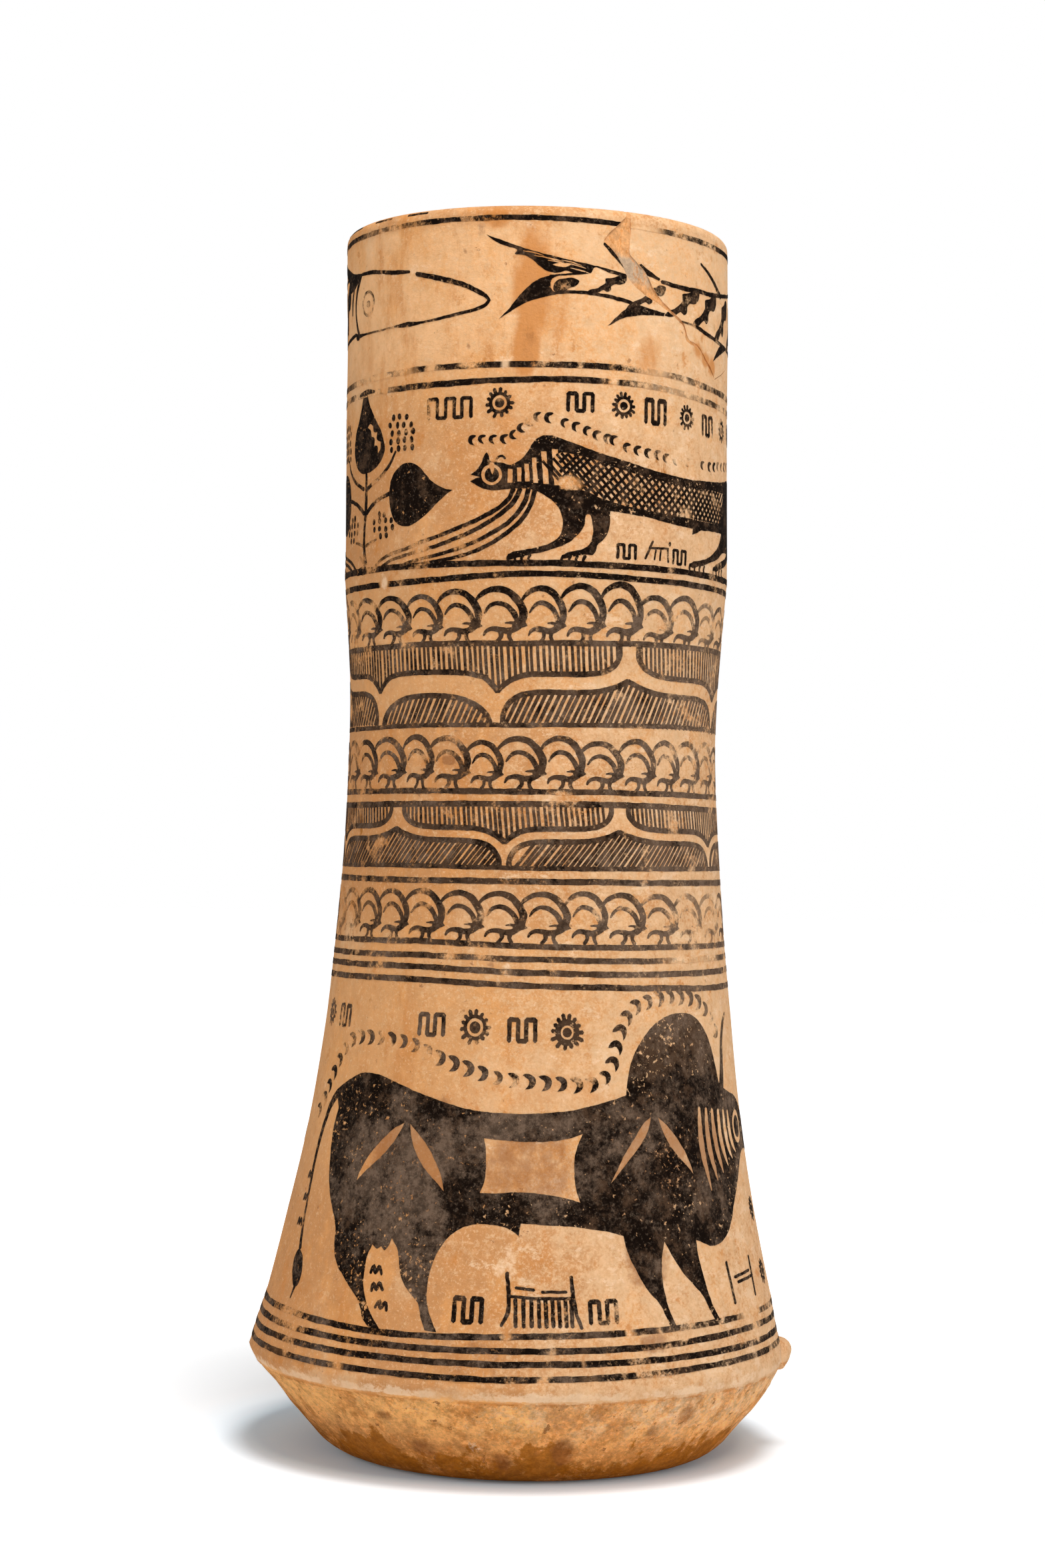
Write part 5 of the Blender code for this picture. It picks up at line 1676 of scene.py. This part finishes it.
# Bull, facing right
BULL = (
    blot(((-103, 168), (-98, 171.3), (-92, 174), (-87, 175.9), (-82, 176.5), (-76, 176.3), (-70, 175.2),
          (-62, 173), (-55, 171), (-48, 169), (-40, 166.9), (-30, 164.5), (-20, 163), (-10, 162.5),
          (0, 162.4), (10, 163), (20, 164), (28, 165.6), (36, 167.5), (42, 169), (46.3, 170.3, CORNER),
          (46.6, 173), (47.6, 178), (49.5, 184), (53, 190.2), (57.5, 195.6), (63, 200.2), (70, 203.6),
          (77, 205), (83, 205.2), (90, 204), (96, 200.6), (101, 196), (104.5, 190.8), (107, 184.5),
          (108.8, 178), (110.5, 172.5), (115, 170.4), (122, 168), (130, 166), (139, 161.8), (147, 156),
          (155, 149.5), (160, 144.5), (160.5, 140.8), (156.5, 139), (148, 140), (139, 141), (131, 139.6),
          (126, 135.8), (121, 130.4), (115.5, 124.4), (110.5, 118.8), (106, 112.6), (101.5, 108), (97, 105),
          (92, 103.2), (87, 103), (83, 104.3), (77.8, 106.4, CORNER), (77.8, 100), (78.5, 95), (79.5, 89),
          (80.5, 83.5), (82, 78), (85, 71.6, CORNER), (82.3, 71.2, CORNER), (80, 76), (77.5, 82),
          (74, 86.5), (70, 91), (67, 95), (64, 100), (60.5, 107, CORNER), (58.5, 101), (57.7, 96),
          (57.5, 90), (58, 84), (59, 78), (61.5, 71.2, CORNER), (58.8, 70.8, CORNER), (57, 76), (55, 81),
          (51, 86), (48, 91), (45.5, 96.5), (43.5, 101), (42, 106), (41.2, 110.4, CORNER), (36, 112),
          (28, 113.5), (20, 114.7), (10, 115.3), (-1.5, 116, CORNER), (-2.3, 110.8, CORNER), (-4.8, 112.8),
          (-9, 114.5), (-14, 115.3), (-20, 115.2), (-26, 113), (-30, 110), (-33.5, 105), (-36, 99),
          (-37.2, 93), (-37.5, 87), (-37, 82), (-35.5, 77), (-32, 69.6, CORNER), (-36.5, 70, CORNER),
          (-39, 76), (-40.5, 81), (-44.5, 85), (-48, 89.5), (-50, 94), (-51, 98.5), (-52.3, 102.5),
          (-55.5, 107, CORNER), (-57, 103), (-58.5, 101.5), (-60, 103.2), (-62, 101.8),
          (-64.5, 103.6, CORNER), (-66.3, 98.5), (-66.5, 92), (-65.8, 86), (-64, 81), (-61, 76),
          (-55, 68.6, CORNER), (-59.5, 68.8, CORNER), (-63.5, 72.5), (-65.5, 77), (-68, 80.5), (-72, 84),
          (-77, 88.5), (-81, 92), (-84.5, 97), (-86, 102), (-87, 108), (-88.5, 111.5), (-91.5, 116),
          (-95, 121.5), (-98, 128), (-100, 134), (-101.5, 140), (-102.5, 146), (-103, 150), (-102.5, 155),
          (-101.6, 159.5), (-103.5, 163)), 1.3),
    stroke(((-99, 168.6, 4), (-104.5, 165.6, 4), (-110, 160, 3.4), (-113, 153, 3), (-115, 146, 2.8),
            (-115.8, 138, 2.6), (-115, 125, 2), (-113.5, 110, 1.6), (-112.4, 102, 2),
            (-111, 96, 2.4)), 0.9),
    blot(((-111.6, 95.6), (-108, 94), (-105.4, 89), (-104.6, 84), (-106, 80.2), (-108.6, 79.6),
          (-111.6, 83), (-113.8, 87.4), (-114.4, 91.6)), 1.0),
    stroke(((-107.6, 80, 1.8), (-109, 74.5, 0.8)), 0.7),
    stroke(((112, 169, 5), (114.4, 176, 4.4), (116.4, 184, 3.4), (119, 193, 2.8), (123, 199.6, 2.4),
            (127.5, 203.4, 1.6)), 0.95),
    bare(((-56.3, 156.3, CORNER), (-61, 154), (-66, 149.6), (-71, 144.4), (-75.4, 138.6), (-78, 133),
          (-79, 129.4, CORNER), (-75, 133.4), (-70, 138), (-65, 142.6), (-61, 147.6), (-58, 152.4))),
    bare(((-53.4, 156.2, CORNER), (-49.6, 153), (-45.6, 149.4), (-42, 145), (-39, 140.4), (-36.4, 135.4),
          (-34.2, 128.2, CORNER), (-38, 132), (-42, 135.6), (-46, 139.8), (-50, 146), (-52.3, 151.5))),
    bare(((-18.2, 151.6, CORNER), (-10, 151), (0, 150.5), (10, 150.8), (20, 152.4), (25, 154, CORNER),
          (22.5, 149), (21, 143), (20.8, 137), (21.3, 131), (23, 124.8, CORNER), (15, 127.2), (5, 128.8),
          (-5, 129), (-12, 128.4), (-18.8, 128.4, CORNER), (-17, 134), (-16.8, 140), (-17.2, 146))),
    bare(((58.6, 160.6, CORNER), (55, 158.5), (51, 154), (47, 149), (43, 143.5), (40, 138.5),
          (36.4, 132.4, CORNER), (40, 136), (44.5, 141), (49, 145.5), (53, 150), (56.5, 155))),
    bare(((62.2, 160.4, CORNER), (66, 157.5), (70, 153.5), (74, 148.5), (77.5, 143), (79.5, 138.5),
          (80.8, 134.4, CORNER), (77.5, 138), (73.5, 141.5), (70, 145), (66.5, 150), (64, 155))),
)
BULL_EYE = (129, 152)
# Bare stripes on the bull's neck, as x and z from the top down, and the width of each at those points
STRIPE_WIDTHS = (2, 3.6, 3.6, 2.4, 0.8)
NECK_STRIPES = (
    ((89.4, 163), (88.4, 151), (89, 142), (90.8, 134), (92.4, 126.6)),
    ((94.8, 162.4), (94, 151), (95, 142), (97, 135.4), (98.4, 130.4)),
    ((100, 161.8), (99.8, 151), (101, 143.6), (103, 137.6), (104.4, 133.4)),
    ((106, 161.2), (105.4, 151), (106.4, 145), (108.6, 139.6), (110.2, 136)),
    ((111.4, 160.6), (111.4, 151), (112.4, 146), (114.4, 141.6), (116.6, 138.6)),
    ((116.8, 160), (116.8, 151.4), (117.8, 147), (120, 143.4), (122.4, 141)),
)
BULL_WEAR = ((-79, 140, 16, 14, 0.12), (8, 158, 12, 4, 0.12), (-113.5, 112, 4, 10, 0.35),
             (70, 190, 14, 9, 0.1), (-92, 165, 8, 6, 0.2))


class JAR_OT_bulls(bpy.types.Operator):
    """Paint the two bulls"""

    bl_idname = "jar.bulls"
    bl_label = "Bulls"

    def execute(self, context):
        shapes = list(BULL)
        for points in NECK_STRIPES:
            shapes.append(stroke([(x, z, w) for (x, z), w in zip(points, STRIPE_WIDTHS)], RESERVE))
        shapes.append(disc(*BULL_EYE, 7.2, 7.6, RESERVE, 26))
        shapes.append(disc(*BULL_EYE, 4.6, 5, points=20))
        paint("bulls", shapes + shifted(shapes, math.pi * BULL_BAND), BULL_BAND, BULL_WEAR)
        return {"FINISHED"}


# Stage, in metres
SENSOR_WIDTH = 36
FLOOR_RADIUS = 9
FLOOR_DROP = 0.0002
FLOOR_SIDES = 64
FLOOR_COLOUR = (0.94, 0.95, 0.96, 1)
SHADOW_COLOUR = (0.74, 0.89, 1.0, 1)
SHADOW_MIDDLE = (-0.012, 0.03, 0)
# Lamps, with their place and their size
LAMPS = (
    ("key", (1.56, -1.09, 0.62), 1.0),
    ("front", (0.1, -1.9, 1.25), 1.2),
    ("left", (-1.5, -1.2, 0.9), 1.0),
    ("top", (0.22, -0.65, 1.72), 0.6),
)


class JAR_OT_stage(bpy.types.Operator):
    """Set the camera, the lamps and the white floor"""

    bl_idname = "jar.stage"
    bl_label = "Stage"

    def execute(self, context):
        scene, stage = context.scene, context.scene.jar_stage
        scene.view_settings.view_transform = "Standard"
        data = bpy.data.cameras.new("camera")
        data.lens, data.sensor_width = stage.lens, SENSOR_WIDTH
        data.clip_start, data.clip_end = 0.05, 50
        camera = bpy.data.objects.new("camera", data)
        turn = Matrix.Rotation(math.pi / 2 + stage.pitch, 4, "X") @ Matrix.Rotation(stage.roll, 4, "Z")
        camera.matrix_world = Matrix.Translation((stage.across, -stage.distance, stage.height)) @ turn
        scene.collection.objects.link(camera)
        scene.camera = camera
        middle = Vector((0, 0, RIM_TOP * MM / 2))
        for name, place, size in LAMPS:
            self.lamp(name, place, middle, size, getattr(stage, name))
        world = bpy.data.worlds.new("white_room")
        world.use_nodes = True
        nodes, links = world.node_tree.nodes, world.node_tree.links
        path, light = nodes.new("ShaderNodeLightPath"), nodes["Background"]
        level = nodes.new("ShaderNodeMapRange")
        level.inputs["To Min"].default_value = stage.surround
        level.inputs["To Max"].default_value = 1.0
        links.new(path.outputs["Is Camera Ray"], level.inputs["Value"])
        light.inputs["Color"].default_value = (1, 1, 1, 1)
        links.new(level.outputs[0], light.inputs["Strength"])
        scene.world = world
        self.floor(scene, stage)
        return {"FINISHED"}

    @staticmethod
    def lamp(name, place, aim, size, power):
        data = bpy.data.lights.new(name, "AREA")
        data.shape, data.size, data.energy = "DISK", size, power
        made = bpy.data.objects.new(name, data)
        way = Vector(place) - aim
        made.matrix_world = Matrix.Translation(place) @ way.to_track_quat("Z", "Y").to_matrix().to_4x4()
        bpy.context.scene.collection.objects.link(made)

    @staticmethod
    def floor(scene, stage):
        """A white floor with the jar's shadow, deepened and edged by a painted shadow in its glow, that
        runs out into the white room.
        """
        mesh = bpy.data.meshes.new("floor")
        turns = np.arange(FLOOR_SIDES) * math.tau / FLOOR_SIDES
        rim = [(FLOOR_RADIUS * math.cos(t), FLOOR_RADIUS * math.sin(t), -FLOOR_DROP) for t in turns]
        mesh.from_pydata(rim, [], [list(range(FLOOR_SIDES))])
        finish = Finish("white_floor")
        inputs = {0: finish.place, 1: SHADOW_MIDDLE}
        away = finish.node("ShaderNodeVectorMath", inputs, operation="DISTANCE").outputs["Value"]
        camera = finish.node("ShaderNodeLightPath").outputs["Is Camera Ray"]

        def ramp(low, high, to_low, to_high):
            """A value that goes with the distance from the shadow's middle."""
            return finish.between(away, low, high, to_low, to_high, "LINEAR")

        # The floor glows for the camera: little in the shadow by the jar, more round it and most far out,
        # so the glow paints the shadow's edge over the lamps' real shadow. Inside the shadow its colour is
        # cooled for the camera to take out the clay's warm bounce
        rise = finish.plus(ramp(0.113, 0.134, stage.floor_near, stage.floor_edge),
                           ramp(0.16, 0.45, 0.0, stage.floor_far - stage.floor_edge))
        cool = finish.times(ramp(0.115, 0.15, 1.0, 0.0), camera)
        finish.link(finish.mix(cool, FLOOR_COLOUR, SHADOW_COLOUR), "Base Color")
        finish.link(finish.times(rise, camera), "Emission Strength")
        finish.set("Emission Color", (1, 1, 1, 1))
        finish.set("Roughness", 0.9)
        finish.set("Specular IOR Level", 0.0)
        mesh.materials.append(finish.material)
        made = bpy.data.objects.new("floor", mesh)
        scene.collection.objects.link(made)


OPERATORS = (JAR_OT_walls, JAR_OT_base, JAR_OT_neck, JAR_OT_coils, JAR_OT_lug, JAR_OT_lines, JAR_OT_fish,
             JAR_OT_plant, JAR_OT_feline, JAR_OT_signs, JAR_OT_horned_rows, JAR_OT_brackets, JAR_OT_bulls,
             JAR_OT_stage)


class JAR_PT_sidebar(bpy.types.Panel):
    """The jar's pieces and its stage"""

    bl_idname = "JAR_PT_sidebar"
    bl_label = "Painted jar"
    bl_space_type = "VIEW_3D"
    bl_region_type = "UI"
    bl_category = "Jar"

    def draw(self, context):
        for group in (context.scene.jar_look, context.scene.jar_stage):
            for name in group.bl_rna.properties.keys():
                if name not in ("rna_type", "name"):
                    self.layout.prop(group, name)
        for operator in OPERATORS:
            self.layout.operator(operator.bl_idname)


CLASSES = (JarLook, JarStage, *OPERATORS, JAR_PT_sidebar)


def register():
    for made in CLASSES:
        bpy.utils.register_class(made)
    bpy.types.Scene.jar_look = bpy.props.PointerProperty(type=JarLook)
    bpy.types.Scene.jar_stage = bpy.props.PointerProperty(type=JarStage)


def unregister():
    del bpy.types.Scene.jar_stage
    del bpy.types.Scene.jar_look
    for made in reversed(CLASSES):
        bpy.utils.unregister_class(made)


def main():
    register()
    for operator in OPERATORS:
        group, name = operator.bl_idname.split(".")
        getattr(getattr(bpy.ops, group), name)()


if __name__ == "__main__":
    main()
